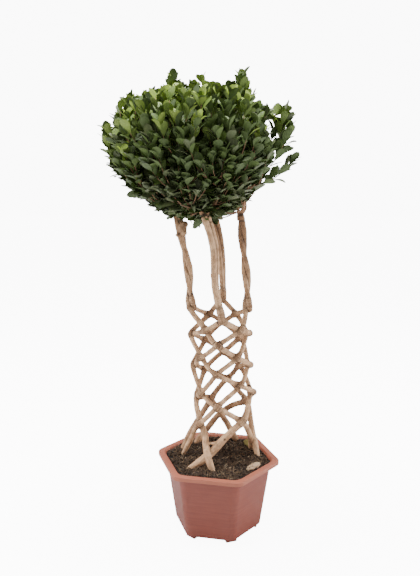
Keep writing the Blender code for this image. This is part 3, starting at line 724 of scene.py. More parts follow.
LITTER = {
    Scrap.CHIP: Litter(
        1500, ((0.004, 0.011), (0.0020, 0.0055), (0.0010, 0.0022)), 0.60,
        SoilFinish("bark_chips", (0.016, 0.009, 0.005), (0.130, 0.072, 0.037), 320.0, 0.001),
    ),
    Scrap.FIBRE: Litter(
        1500, ((0.007, 0.019), (0.0009, 0.0019), (0.0007, 0.0013)), 0.55,
        SoilFinish("root_fibres", (0.042, 0.024, 0.012), (0.225, 0.142, 0.075), 300.0, 0.001),
    ),
    Scrap.STRAW: Litter(
        200, ((0.008, 0.026), (0.0008, 0.0015), (0.0006, 0.0010)), 0.35,
        SoilFinish("pale_straws", (0.16, 0.11, 0.065), (0.42, 0.32, 0.21), 300.0, 0.001),
    ),
}


@dataclass(frozen=True)
class SoilBed:
    """The uneven mulch in the tub, with chips, fibres, a stone and a fallen leaf."""

    radius: float = 0.1292
    corner_cut: float = 0.0036
    depth: float = 0.010
    cuts: int = 62
    relief: float = 0.0050
    bank: float = 0.0034
    first_seed: int = 11

    def height(self, x: float, y: float) -> float:
        """How high the mulch lies at this place."""
        waves = ((28.0, 1.3, 0.55), (95.0, 7.1, 0.5), (310.0, 4.2, 0.3))
        lumps = sum(share * noise.noise(Vector((x * fine, y * fine, seed))) for fine, seed, share in waves)
        return SOIL_TOP + self.bank * ease((y - POT_MIDDLE.y) / 0.09 + 0.35) + self.relief * lumps

    def inside(self, x: float, y: float, margin: float) -> bool:
        """Whether a place lies inside the tub's wall.

        Args:
            x: The place's x.
            y: The place's y.
            margin: How far it has to be from the wall.

        Returns:
            Whether it does.
        """
        level = Vector((x - POT_MIDDLE.x, y - POT_MIDDLE.y))
        apothem = self.radius * math.cos(math.pi / POT_SIDES) - margin
        for side in range(POT_SIDES):
            angle = POT_TURN + (side + 0.5) * math.tau / POT_SIDES
            if level.x * math.cos(angle) + level.y * math.sin(angle) > apothem:
                return False
        return level.length < self.radius - self.corner_cut - margin

    def crust(self) -> Object:
        """The uneven top layer.

        Returns:
            A closed slab.
        """
        crust = settle(hexagon("TRIFAN", self.radius, SOIL_TOP), "soil_crust")
        with editing(crust):
            bpy.ops.mesh.subdivide(number_cuts=self.cuts)
        points = read_points(crust)
        limit = self.radius - self.corner_cut
        for point in points:
            level = Vector((point[0] - POT_MIDDLE.x, point[1] - POT_MIDDLE.y))
            if level.length > limit:
                level *= limit / level.length
                point[:2] = level.x + POT_MIDDLE.x, level.y + POT_MIDDLE.y
            point[2] = self.height(point[0], point[1])
        write_points(crust, points)
        with editing(crust):
            bpy.ops.mesh.extrude_region_move(TRANSFORM_OT_translate={"value": (0.0, 0.0, -self.depth)})
            turn_outwards()
        return smooth(crust)

    def litter(self, kind: Scrap, seed: int) -> Object:
        """Many small bits of one kind, as one joined mesh.

        Args:
            kind: Chips, fibres or straws.
            seed: The seed of their places.

        Returns:
            The joined piece.
        """
        dice = random.Random(seed)
        plan = LITTER[kind]
        box = np.array([(x, y, z) for x in (-0.5, 0.5) for y in (-0.5, 0.5) for z in (-0.5, 0.5)])
        sides = np.array(((0, 1, 3, 2), (4, 6, 7, 5), (0, 4, 5, 1), (2, 3, 7, 6), (0, 2, 6, 4), (1, 5, 7, 3)))
        bits = []
        while len(bits) < plan.count:
            x, y = (middle + dice.uniform(-self.radius, self.radius) for middle in POT_MIDDLE[:2])
            length, width, thick = (dice.uniform(*span) for span in plan.spans)
            if not self.inside(x, y, length * 0.5):
                continue
            turn = Matrix.Rotation(dice.uniform(0.0, math.tau), 3, "Z")
            turn = turn @ Matrix.Rotation(dice.gauss(0.0, plan.tilt), 3, "Y")
            turn = turn @ Matrix.Rotation(dice.gauss(0.0, 0.5), 3, "X")
            bend = dice.uniform(-0.25, 0.25)
            bit = box * (length, width, thick)
            bit[:, 1] *= 1.0 - 0.5 * dice.random() * (box[:, 0] > 0.0)
            bit[:, 1] += bend * width * box[:, 0]
            spot = np.array((x, y, self.height(x, y) + dice.uniform(0.0, 0.0022)))
            bits.append(bit @ np.array(turn).T + spot)
        faces = np.concatenate([sides + len(box) * i for i in range(plan.count)])
        return array_mesh(f"soil_{kind.value}s", np.concatenate(bits), faces)

    def lay(self, obj: Object, name: str, turn: tuple, place: tuple) -> Object:
        """Lays a thing on the soil, turned and placed like this."""
        obj.rotation_euler, obj.location = turn, POT_MIDDLE + Vector(place)
        return smooth(settle(obj, name))

    def stone(self) -> Object:
        """The long pale stone that leans on the tub's wall at the front right.

        Returns:
            The stone.
        """
        stone = added(
            bpy.ops.mesh.primitive_ico_sphere_add, subdivisions=5, radius=1.0, location=(0.0, 0.0, 0.0),
        )
        points = read_points(stone)
        for point in points:
            waves = ((1.9, 0.22), (5.5, 0.10))
            point *= 1.0 + sum(noise.noise(Vector(point) * fine) * high for fine, high in waves)
            point[2] = max(point[2], -0.55)
        write_points(stone, points)
        stone.scale = (0.0200, 0.0072, 0.0058)
        place = (0.0822, -0.0565, SOIL_TOP + 0.0052)
        return self.lay(stone, "pale_stone", (0.25, -0.10, math.radians(36.0)), place)

    def fallen_leaf(self) -> Object:
        """The dead, curled leaf by the right-hand stem.

        Returns:
            The leaf.
        """
        leaf = added(
            bpy.ops.mesh.primitive_grid_add,
            x_subdivisions=10, y_subdivisions=14, size=1.0, location=(0.0, 0.0, 0.0),
        )
        points = read_points(leaf)
        for point in points:
            x, y = point[0], point[1] + 0.5
            half = math.sin(math.pi * min(max(y, 0.02), 0.98) ** 0.8) ** 0.6
            curl = 0.0105 * math.cos(x * 2.9) * math.sin(y * 2.7) + 0.0012 * math.sin(y * 17.0 + x * 5.0)
            point[:] = x * half * 0.027, y * 0.036, curl
        write_points(leaf, points)
        apply_modifier(leaf, "SOLIDIFY", thickness=0.0006, offset=0.0)
        turn = tuple(math.radians(angle) for angle in (14.0, -10.0, 62.0))
        return self.lay(leaf, "fallen_leaf", turn, (0.0975, 0.0500, SOIL_TOP + 0.0035))

    def build(self) -> None:
        """Builds the bed, its litter, the stone and the leaf."""
        dress(self.crust(), SoilFinish().build(), "soil", "soil")
        for seed, (kind, plan) in enumerate(LITTER.items(), self.first_seed):
            dress(self.litter(kind, seed), plan.look.build(), "soil")
        pale = TwigFinish("pale_stone", (0.36, 0.225, 0.125), (0.70, 0.52, 0.34), 330.0)
        dress(self.stone(), pale.build(), "soil")
        olive = TwigFinish("dead_leaf", (0.10, 0.075, 0.018), (0.27, 0.215, 0.055), 180.0)
        dress(self.fallen_leaf(), olive.build(), "soil")


# The woven trunk


class Family(Enum):
    """The way a stem turns round the lattice, by its place in a column's pairs."""

    A = 0
    B = 1

    @property
    def hand(self) -> float:
        """1 for the stems that turn one way and -1 for the others."""
        return 1.0 - 2.0 * self.value


@dataclass(frozen=True)
class Column:
    """One column over the lattice; each of its first four pairs is for its two stems."""

    name: str
    angle: float
    reaches: Pair
    feet: Pair
    girths: Pair
    foot_girths: Pair
    hold: float
    half_twists: float
    bow: Pair
    age: float


COLUMNS = (
    Column(
        "front", 0.0, (0.099, 0.114), (-16.0, -43.0), (1.20, 1.02), (0.98, 1.20),
        hold=1.4, half_twists=0.35, bow=(0.0065, -0.0055), age=0.26,
    ),
    Column(
        "right", 90.0, (0.074, 0.084), (98.0, 74.0), (1.04, 1.08), (0.80, 0.88),
        hold=0.0, half_twists=2.5, bow=(0.0008, 0.0018), age=1.0,
    ),
    Column(
        "back", 180.0, (0.083, 0.074), (237.0, 151.0), (1.10, 1.04), (1.00, 0.95),
        hold=1.4, half_twists=0.5, bow=(0.0072, -0.0010), age=0.85,
    ),
    Column(
        "left", 270.0, (0.104, 0.100), (262.0, 277.0), (1.22, 1.00), (0.84, 0.74),
        hold=0.5, half_twists=2.2, bow=(0.0010, 0.0), age=0.52,
    ),
)

# How far a crossing stands off its even place, across and up, by its ring and its eighth
PULLS = {
    (0, 0): (0.0100, 0.001), (0, 6): (-0.0060, 0.008), (1, 1): (0.0040, -0.003),
    (1, 3): (-0.0130, -0.004), (1, 5): (0.0105, -0.001), (1, 7): (0.0130, -0.004),
    (2, 2): (0.0035, 0.000), (2, 6): (-0.0050, 0.000), (3, 1): (-0.0020, -0.004),
    (3, 7): (0.0020, -0.005), (4, 0): (-0.0055, 0.005), (4, 2): (0.0060, -0.003),
    (4, 6): (-0.0025, -0.001), (5, 1): (0.0000, 0.005), (5, 3): (-0.0065, 0.005),
    (5, 5): (-0.0060, 0.000), (5, 7): (-0.0020, -0.016), (6, 0): (-0.0070, 0.002),
    (6, 2): (0.0050, 0.002), (6, 4): (0.0060, 0.002), (6, 6): (0.0050, -0.009),
    (7, 1): (0.0000, 0.001), (7, 3): (0.0040, -0.005), (7, 5): (0.0090, 0.003),
    (7, 7): (-0.0060, -0.008),
}


@dataclass(frozen=True)
class LatticePlan:
    """The lattice's named sizes, the same as the solids' but for the grafts."""

    ring_heights: tuple = (0.525, 0.498, 0.468, 0.434, 0.392, 0.358, 0.319, 0.2745)
    last: int = 7
    eighth: float = 45.0
    turn: float = -6.4
    axis_x: Stations = ((0.0, 0.0065), (3.0, 0.0055), (6.0, 0.0130), (9.0, 0.0147))
    axis_y: Stations = ((0.0, 0.0111), (9.0, 0.0302))
    wall: Stations = ((0.0, 0.0620), (4.0, 0.0600), (8.0, 0.0680))
    tilt: Pair = (0.068, -0.205)
    chord_dip: float = 0.03
    stem_radius: float = 0.0057
    foot_radius: float = 0.0088
    thickens_from: float = 5.5
    foot_spread: float = 1.6
    foot_taper: float = 0.34
    pull_fades: float = 0.5
    pull_ends: float = 0.75
    knot_swell: float = 0.0021
    knot_stands: float = 0.0009
    knot_length: float = 0.15
    graft: float = 0.42
    column_top: float = 0.745
    column_lean: Pair = (-0.116, -0.055)
    column_reach: float = 0.0720
    strand_radius: float = 0.0059
    strand_graft: float = 0.30
    stray: float = 0.0011

    def axis(self, t: float, height: float) -> Vector:
        """The lattice's middle at ring number t and this height."""
        return Vector((interpolate(t, self.axis_x), interpolate(t, self.axis_y), height))

    def tilted(self, way: Vector, reach: float) -> float:
        """How much higher a ring lies on this side."""
        return reach * (self.tilt[0] * way.x - self.tilt[1] * way.y)


class Strand:
    """One of the eight stems, from the crown down through the lattice to the soil."""

    def __init__(self, plan: LatticePlan, column: Column, family: Family) -> None:
        """Works out the stem's run.

        Args:
            plan: The lattice's sizes.
            column: The column it belongs to.
            family: The way it turns.
        """
        own = family.value
        self.plan = plan
        self.column = column
        self.name = f"{column.name}_{family.name.lower()}"
        self.hand = family.hand
        self.start = column.angle + plan.turn
        spans = []
        for other, foot in zip(Family, column.feet):
            ring = self.start + other.hand * plan.eighth * plan.last
            spans.append(foot + 360.0 * round((ring - foot) / 360.0) - ring)
        self.span = spans[own]
        self.crossing = 2.0 * plan.eighth / (spans[0] - spans[1])
        self.foot = plan.last + 1.0 / self.crossing
        self.near = interpolate(plan.last, plan.wall)
        self.reach, self.girth = column.reaches[own], column.girths[own]
        self.foot_radius = plan.foot_radius * column.foot_girths[own]
        self.spread = plan.foot_spread
        if self.crossing < 1.0:
            least = min(column.reaches) - self.near
            self.spread += math.log(least / (self.reach - self.near)) / math.log(self.crossing)
        self.seed = column.angle * 0.37 + self.hand * 3.1

    def base_radius(self, t: float) -> float:
        """Half the stem's thickness at t, without the knots.

        Args:
            t: The ring number, growing downwards.

        Returns:
            The radius.
        """
        plan, girth = self.plan, self.girth
        if t < 0.0:
            return girth * (plan.stem_radius + (plan.strand_radius - plan.stem_radius) * ease(-4.0 * t))
        grown = max(0.0, (t - plan.thickens_from) / (self.foot - plan.thickens_from))
        thin = 1.0 + (girth - 1.0) * (1.0 - ease(t / 3.0) * 0.6)
        radius = thin * plan.stem_radius + (self.foot_radius - plan.stem_radius) * grown ** 1.4
        radius *= 1.0 - plan.foot_taper * ease((t - self.foot + 0.16) / 0.24)
        return radius * (1.0 + 0.07 * noise.noise(Vector((t * 1.3, self.seed, 0.0))))

    def knot(self, t: float) -> float:
        """How much of a knot the stem is at t, from 0 to 1."""
        nearest = min(max(round(t), 0), self.plan.last)
        return math.exp(-(((t - nearest) / self.plan.knot_length) ** 2))

    def radius(self, t: float) -> float:
        """Half the stem's thickness at t."""
        return self.base_radius(t) + self.plan.knot_swell * self.knot(t)

    def weave(self, t: float) -> float:
        """How far the stem stands in or out of the lattice's wall."""
        plan = self.plan
        sunk = plan.graft + (plan.strand_graft - plan.graft) * ease(-t * 6.0)
        return (self.base_radius(t) + plan.knot_stands * self.knot(t)) * (1.0 - sunk)

    def ring_pull(self, ring: int) -> Vector:
        """How far the crossing at this ring stands off its even place."""
        eighth = round(self.column.angle + self.hand * 45.0 * ring) // 45 % 8
        across, up = PULLS.get((ring, eighth), (0.0, 0.0))
        return Vector((across, 0.0, up))

    def pull(self, t: float) -> Vector:
        """How far the stem stands off its even place at ring number t.

        Args:
            t: The ring number, growing downwards.

        Returns:
            The offset.
        """
        plan = self.plan
        if t < 0.0:
            return self.ring_pull(0) * (1.0 - ease(-t / plan.pull_fades))
        if t >= plan.last:
            return self.ring_pull(plan.last) * (1.0 - ease((t - plan.last) / plan.pull_ends))
        ring = int(t)
        return self.ring_pull(ring).lerp(self.ring_pull(ring + 1), t - ring)

    def point(self, t: float) -> Vector:
        """The middle of the stem at ring number t.

        Args:
            t: The ring number, growing downwards.

        Returns:
            The point.
        """
        if t < 0.0:
            return self.column_point(-t)
        plan = self.plan
        if t <= plan.last:
            angle = self.start + self.hand * plan.eighth * t
            height = float(np.interp(t, range(plan.last + 1), plan.ring_heights))
            wall, swing = interpolate(t, plan.wall), t
        else:
            share = (t - plan.last) * self.crossing
            angle = self.start + self.hand * plan.eighth * plan.last + self.span * share
            fall = plan.ring_heights[-1] - SOIL_TOP
            height = plan.ring_heights[-1] - fall * (0.5 * share + 0.5 * share * share)
            wall = self.near + (self.reach - self.near) * share ** self.spread
            swing = min(t, plan.last + self.column.hold)
        way = outward(angle)
        height += max(1.0 - max(0.0, t - plan.last) * self.crossing, 0.0) * plan.tilted(way, wall)
        wall *= 1.0 - plan.chord_dip * math.sin(math.pi * t) ** 2
        wave = math.cos(math.pi * swing)
        middle = plan.axis(t, height) + way * (wall + self.hand * self.weave(t) * wave) + self.pull(t)
        loose = plan.stray * min(1.0, 2.0 * abs(math.sin(math.pi * t)))
        return middle + noise.noise_vector(Vector((t * 0.9, self.seed, 5.0))) * loose

    def column_point(self, share: float) -> Vector:
        """The strand's middle in the twisted column, from the fork (0) to the top (1).

        Args:
            share: How far up the column.

        Returns:
            The point.
        """
        plan = self.plan
        way = outward(self.start)
        wall = interpolate(0.0, plan.wall)
        low = plan.axis(0.0, plan.ring_heights[0]) + way * wall
        low.z += plan.tilted(way, wall)
        rise = plan.column_top - plan.ring_heights[0]
        high = plan.axis(0.0, plan.column_top) + way * plan.column_reach
        high += Vector((plan.column_lean[0] * rise, plan.column_lean[1] * rise, 0.0))
        middle = low.lerp(high, share) + self.pull(-share)
        twist = math.pi * self.column.half_twists * share
        offset = way * math.cos(twist) - Vector((-way.y, way.x, 0.0)) * math.sin(twist)
        once, twice = self.column.bow
        middle.x += once * math.sin(math.pi * share) + twice * math.sin(math.tau * share)
        return middle + offset * self.hand * self.weave(-share)

    def heading(self, t: float) -> Vector:
        """The direction of growing t."""
        return (self.point(t + 0.02) - self.point(max(t - 0.02, -1.0))).normalized()


@dataclass
class Run:
    """A line of points with radii that becomes a round limb, and what the bark reads there."""

    points: list[Vector]
    radii: list[float]
    knots: list[float]
    ages: list[float]


class WovenTrunk:
    """The lattice, the columns over it and the boughs, grafted into closed skins."""

    voxels = {"lattice": 0.00172, "columns_and_boughs": 0.00125}
    voxel_quick = 0.0022
    hole_at = 0.62
    stub_at = 0.72
    stub_radii = (0.0072, 0.0052)
    burl_at = 0.86
    stub_rings = (1, 3, 4, 6)
    stub_chance = 0.55

    def __init__(self, plan: LatticePlan) -> None:
        """Lays out the eight strands.

        Args:
            plan: The lattice's sizes.
        """
        self.plan = plan
        self.strands = [Strand(plan, column, family) for column in COLUMNS for family in Family]
        by_name = {strand.name: strand for strand in self.strands}
        self.front = by_name["front_b"]
        left = [by_name["left_" + family.name.lower()].column_point(self.burl_at) for family in Family]
        self.burl = (left[0] + left[1]) / 2 + Vector((0.0045, -0.003, 0.0))

    def run(self, strand: Strand, start: float, end: float, steps: int) -> Run:
        """Samples a stretch of a strand.

        Args:
            strand: The strand.
            start: Its first ring number.
            end: Its last ring number.
            steps: Samples for each ring.

        Returns:
            The stretch.
        """
        grid = np.arange(start, end, 1.0 / steps)
        points = [strand.point(t) for t in grid]
        # Painted shade: strands towards the back of the lattice are painted browner; the columns also turn
        # browner towards the top
        shaded = [ease((place.y + 0.01) / 0.08) * ease(t) for place, t in zip(points, grid)]
        ages = [0.10 + 0.55 * dim + strand.column.age * ease(-t * 1.3) for dim, t in zip(shaded, grid)]
        return Run(points, [strand.radius(t) for t in grid], [strand.knot(t) for t in grid], ages)

    def tube(self, run: Run) -> Object:
        """A closed round limb along a run.

        Args:
            run: The run.

        Returns:
            The limb, as a mesh.
        """
        curve = bpy.data.curves.new("limb", "CURVE")
        curve.dimensions = "3D"
        curve.bevel_depth = 1.0
        curve.bevel_resolution = 4
        curve.use_fill_caps = True
        spline = curve.splines.new("POLY")
        spline.points.add(len(run.points) - 1)
        for point, place, radius in zip(spline.points, run.points, run.radii):
            point.co = (*(place + POT_MIDDLE), 1.0)
            point.radius = radius
        obj = bpy.data.objects.new("limb", curve)
        bpy.context.scene.collection.objects.link(obj)
        pick(obj)
        bpy.ops.object.convert(target="MESH")
        return bpy.context.object

    def lump(self, middle: Vector, radius: float, squash: tuple = (1.0, 1.0, 1.0)) -> Object:
        """A burl or a stub's head to be grafted on.

        Args:
            middle: Its middle.
            radius: Its radius.
            squash: How it is stretched along each axis.

        Returns:
            The lump.
        """
        place = middle + POT_MIDDLE
        lump = added(bpy.ops.mesh.primitive_ico_sphere_add, subdivisions=3, radius=radius, location=place)
        lump.scale = squash
        return settle(lump, "lump")

    def skin(self, name: str, runs: Sequence[Run], extras: Sequence[Object]) -> Object:
        """Grafts limbs and lumps into one closed skin and gives it its relief.

        Args:
            name: The piece's name.
            runs: The limbs.
            extras: Lumps and stubs.

        Returns:
            The skin, with the attributes that its bark reads.
        """
        skin = join(name, [self.tube(run) for run in runs] + list(extras))
        size = self.voxels[name]
        apply_modifier(skin, "REMESH", mode="VOXEL", voxel_size=size)
        apply_modifier(skin, "SMOOTH", factor=0.5, iterations=3)
        self.relief(skin, runs)
        return smooth(skin)

    def relief(self, skin: Object, runs: Sequence[Run]) -> None:
        """Raises ridges, rings and lumps, notes them for the bark, and paints shade into creases, grooves,
        low spots and where limbs meet.

        Args:
            skin: The grafted skin.
            runs: The limbs inside it.
        """
        rows = []
        for number, run in enumerate(runs):
            way = 0.0
            for i, place in enumerate(run.points):
                before = run.points[max(i - 1, 0)]
                ahead = (run.points[min(i + 1, len(run.points) - 1)] - before).normalized()
                way += (place - before).length
                here = run.radii[i], run.knots[i], run.ages[i]
                rows.append((place + POT_MIDDLE, ahead, way, *here, number))
        tree = kdtree.KDTree(len(rows))
        for i, row in enumerate(rows):
            tree.insert(row[0], i)
        tree.balance()
        points = read_points(skin)
        along = np.empty((len(points), 3))
        knot, hollow, age, lift = np.zeros((4, len(points)))
        for i, point in enumerate(points):
            spot = Vector(point)
            around = [(hit[2] - rows[hit[1]][3], rows[hit[1]]) for hit in tree.find_n(spot, 34)]
            place, ahead, way, _, knots, ages, number = min(around, key=lambda hit: hit[0])[1]
            gap = max(0.0, min((apart for apart, row in around if row[6] != number), default=1.0))
            crease = max(0.0, 1.0 - gap / 0.0017)
            # Painted shade where two limbs come close
            contact_shade = max(0.0, 1.0 - gap / 0.0032)
            off = spot - place
            ahead_by = off.dot(ahead)
            ring = (off - ahead * ahead_by).normalized() * 0.006
            s = way + ahead_by + number * 1.7
            along[i] = (ring.x, ring.y + ring.z * 0.8, s)
            ridge = noise.noise(Vector((ring.x * 480.0, ring.y * 480.0 + ring.z * 390.0, s * 75.0)))
            wrinkle = noise.noise(Vector((ring.x * 80.0, ring.y * 80.0, s * 560.0)))
            swell = noise.noise(Vector((ring.x * 120.0, ring.y * 120.0 + number, s * 95.0)))
            groove = math.exp(-(((knots - 0.42 + 0.22 * swell) / 0.13) ** 2))
            collar = math.exp(-(((knots - 0.74) / 0.12) ** 2))
            lift[i] = 0.00022 * ridge + 0.00055 * swell + wrinkle * (0.00008 + 0.00060 * knots)
            lift[i] += 0.00045 * collar - 0.00055 * groove - 0.00080 * crease
            knot[i], age[i] = knots, ages
            # Painted shade: darker where limbs meet, in creases, in the wrinkles by the knots, in low swells
            # and, below, in the grooves
            dark = 0.40 * contact_shade + 0.60 * crease + 1.1 * knots * max(0.0, -wrinkle) + 0.45 * max(0.0, -swell)
            hollow[i] = min(0.95, dark + 0.85 * groove * (0.70 + swell))
        write_points(skin, points + read_points(skin, "normal") * lift[:, None])
        notes = {"along": along, "knot": knot, "hollow": hollow, "age": age, "scar": self.scars(points)}
        for name, values in notes.items():
            add_attribute(skin, name, values)

    def scars(self, points: np.ndarray) -> np.ndarray:
        """Where pruned branches left dark marks.

        Args:
            points: The skin's corners.

        Returns:
            For each corner, how dark its scar is.
        """
        t = self.plan.last + self.hole_at
        hole = self.front.point(t) + Vector((0.25, -1.0, 0.35)).normalized() * self.front.radius(t)
        scar = np.zeros(len(points))
        for place, reach, strength in (
            (hole, 0.0032, 0.92), (self.burl + Vector((0.004, -0.008, 0.009)), 0.0052, 0.90),
            (self.burl, 0.0150, 0.42), (self.burl + Vector((-0.008, -0.006, -0.012)), 0.0040, 0.80),
        ):
            apart = np.linalg.norm(points - np.array(place + POT_MIDDLE), axis=1)
            scar = np.maximum(scar, strength * np.clip(1.35 - apart / reach, 0.0, 1.0))
        return scar

    def extras_low(self) -> list[Object]:
        """The cut root stub on the front stem, and small healed stubs by the knots.

        Returns:
            The stubs.
        """
        root = self.front.point(self.plan.last + self.stub_at)
        tip = root + Vector((-0.027, -0.006, 0.001))
        shares = [i / 5 for i in range(6)]
        thick, loss = self.stub_radii
        run = Run([root.lerp(tip, s) for s in shares], [thick - loss * s for s in shares], [], [])
        lumps = [self.tube(run)]
        dice = random.Random(5)
        for strand in self.strands:
            for ring in self.stub_rings:
                if dice.random() < self.stub_chance:
                    spans = (-1, 1), (-1, 1), (-0.4, 0.8)
                    way = Vector([dice.uniform(*span) for span in spans]).normalized()
                    t = ring + dice.uniform(-0.16, 0.16)
                    place = strand.point(t) + way * strand.radius(t) * 0.75
                    lumps.append(self.lump(place, dice.uniform(0.0022, 0.0036)))
        return lumps

    def extras_high(self) -> list[Object]:
        """The burl with its cut stub on the left column.

        Returns:
            Its lumps.
        """
        parts = (
            ((0.0, 0.0, 0.0), 0.0104, (1.0, 1.0, 1.45)),
            ((0.005, -0.003, 0.010), 0.0086, (1.0, 1.0, 0.9)),
            ((-0.009, -0.003, -0.014), 0.0056, (1.3, 1.0, 0.9)),
            ((0.004, -0.005, -0.009), 0.0070, (1.0, 1.0, 1.0)),
        )
        return [self.lump(self.burl + Vector(offset), radius, squash) for offset, radius, squash in parts]

    def build(self, limbs: Iterable["Limb"]) -> None:
        """Builds the lattice and, in a second skin, the columns with the boughs.

        Args:
            limbs: The boughs and leaders that the columns carry.
        """
        bark, limbs = BarkFinish().build(), list(limbs)
        low = [self.run(s, -0.10, s.foot + 0.12 / s.crossing, 14) for s in self.strands]
        lattice = self.skin("lattice", low, self.extras_low())
        high = [self.run(s, -1.0, 0.06, 44) for s in self.strands]
        high += [Run(o.points, o.radii, [0.0] * len(o.points), [1.0] * len(o.points)) for o in limbs]
        columns = self.skin("columns_and_boughs", high, self.extras_high())
        stems = [f"stem_{s.name}_{part}" for s in self.strands for part in ("upper", "middle", "foot")]
        upper = [f"column_{s.name}" for s in self.strands] + [limb.name for limb in limbs]
        dress(lattice, bark, "bark", *stems)
        dress(columns, bark, "bark", *upper)


# The crown


@dataclass(frozen=True)
class CrownPlan:
    """The crown's named sizes, the same as the solids' with more and finer shoots."""

    middle: Pair = (-0.037, 0.0)
    focus_z: float = 0.735
    profile: Stations = (
        (0.746, 0.060), (0.761, 0.105), (0.797, 0.158), (0.843, 0.196), (0.890, 0.219),
        (0.935, 0.214), (0.965, 0.197), (0.988, 0.168), (1.006, 0.136), (1.020, 0.098), (1.034, 0.0),
    )
    sparse_side: float = 0.25
    tall: tuple = (
        (-0.236, -0.010, 0.955), (-0.143, -0.010, 1.018), (0.029, 0.0, 1.036), (0.182, -0.020, 0.872),
        (-0.105, 0.010, 1.060), (0.056, -0.015, 1.060), (-0.200, -0.030, 1.004),
        (0.160, 0.020, 0.992), (0.166, -0.020, 0.924), (-0.262, 0.010, 0.905),
        (-0.030, 0.150, 1.040), (0.080, 0.140, 1.030), (-0.130, 0.145, 1.020),
        (-0.020, -0.028, 1.036), (-0.058, 0.020, 1.044), (-0.010, 0.022, 1.036),
    )
    side_seed: Pair = (0.130, 0.850)
    top_seed: Pair = (0.062, 0.985)
    side_spread: float = 22.5
    side_end: Pair = (0.098, 0.782)
    leader_end: Pair = (0.050, 0.880)
    leader_inset: float = 0.0075
    bough_radii: Pair = (0.0050, 0.0032)
    leader_radii: Pair = (0.0040, 0.0028)
    stem_radii: tuple = (0.0030, 0.0029, 0.0025, 0.0020, 0.0016)
    shoot_radii: Pair = (0.0017, 0.0009)
    twig_radii: Pair = (0.0012, 0.0007)
    skirt_radii: Pair = (0.0021, 0.0010)
    pull: float = 0.45
    flare: float = 0.7
    lead_in: float = 0.005
    shoots: int = 80
    outer_twigs: int = 420
    inner_twigs: int = 260
    skirt_twigs: int = 3
    skirt_number: int = 900
    companions: int = 4
    companions_over: float = 0.93
    low: float = math.radians(5.0)
    joints: Pair = (1.3, 3.9)
    spread: float = 0.18
    sag: float = 0.12
    tip_room: float = 0.030
    leaf_length: float = 0.036
    leaf_room: float = 0.008
    end_room: float = 0.018
    spacing: float = 0.0086

    def point(self, degrees: float, reach: float, height: float) -> Vector:
        """A point of the crown by its angle, its distance from the middle and its height."""
        return Vector((*self.middle, height)) + outward(degrees) * reach

    @property
    def focus(self) -> Vector:
        """The point that the crown's bowl opens from."""
        return Vector((*self.middle, self.focus_z))

    def width(self, height: float, rightward: float) -> float:
        """The bowl's half width at this height, less towards its sparse right side."""
        return interpolate(height, self.profile) * (1.0 - self.sparse_side * max(0.0, rightward))

    def reach(self, way: Vector) -> float:
        """How far the crown goes from its focus in this direction.

        Args:
            way: The direction.

        Returns:
            The distance.
        """
        focus, level = self.focus, math.hypot(way.x, way.y)
        low, high = 0.0, 0.5
        for _ in range(22):
            middle = (low + high) / 2
            height = focus.z + way.z * middle
            width = self.width(height, way.x / max(level, 1e-6))
            if height < self.profile[-1][0] and level * middle < width:
                low = middle
            else:
                high = middle
        return low

    def holds(self, point: Vector, room: float) -> bool:
        """Whether a point lies in the bowl or no further out than this."""
        level = math.hypot(point.x - self.middle[0], point.y - self.middle[1])
        rightward = (point.x - self.middle[0]) / max(level, 1e-6)
        return point.z > self.profile[0][0] and level < self.width(point.z, rightward) + room


class Limb:
    """A tapering limb that leaves its start straight, bends, and runs on to its tip."""

    def __init__(
        self, plan: CrownPlan, name: str, start: Vector, ways: tuple, end: Vector, radii: Pair,
    ) -> None:
        """Draws the limb.

        Args:
            plan: The crown's sizes.
            name: The CAD node that it stands for.
            start: Where it starts.
            ways: The direction that it starts in, and the one that it bends towards.
            end: Its tip.
            radii: Its radius at the start and at the tip.
        """
        self.name, self.end = name, end
        heading, bend = ways
        first = start + heading * plan.lead_in
        control = first + bend.normalized() * (end - first).length * plan.pull
        self.points = [start - heading * 0.012, start]
        self.points += [bezier(first, control, end, i / 14) for i in range(15)]
        self.radii = taper(radii, len(self.points) - 1)
        self.heading = (self.points[-1] - self.points[-2]).normalized()


@dataclass
class Twig:
    """A twig's line, its radii and how its leaves look."""

    points: list[Vector]
    radii: Sequence[float]
    index: int
    leafy_from: float
    free: bool = False


class LeafTone(Enum):
    """The colours that leaves are dealt, by spray and by place: the sunlit tones are painted light on the
    crown's top and left, and the shaded tone and part of the deep one are painted shade low down.
    """

    DEEP = "deep"
    GREEN = "green"
    FRESH = "fresh"
    DUSKY = "dusky"
    YOUNG = "young"


# For each tone: dark, light, underside and midrib
LEAF_LOOKS = {
    LeafTone.DEEP: (
        (0.033, 0.058, 0.011), (0.072, 0.117, 0.021),
        (0.086, 0.122, 0.047), (0.122, 0.174, 0.049),
    ),
    LeafTone.GREEN: (
        (0.042, 0.075, 0.011), (0.096, 0.153, 0.025),
        (0.103, 0.147, 0.050), (0.143, 0.207, 0.052),
    ),
    LeafTone.FRESH: (
        (0.074, 0.125, 0.015), (0.152, 0.226, 0.031),
        (0.147, 0.207, 0.053), (0.198, 0.276, 0.064),
    ),
    LeafTone.DUSKY: (
        (0.055, 0.072, 0.028), (0.115, 0.140, 0.055),
        (0.120, 0.145, 0.074), (0.156, 0.189, 0.083),
    ),
    LeafTone.YOUNG: (
        (0.147, 0.225, 0.024), (0.285, 0.386, 0.055),
        (0.239, 0.322, 0.078), (0.322, 0.419, 0.092),
    ),
}


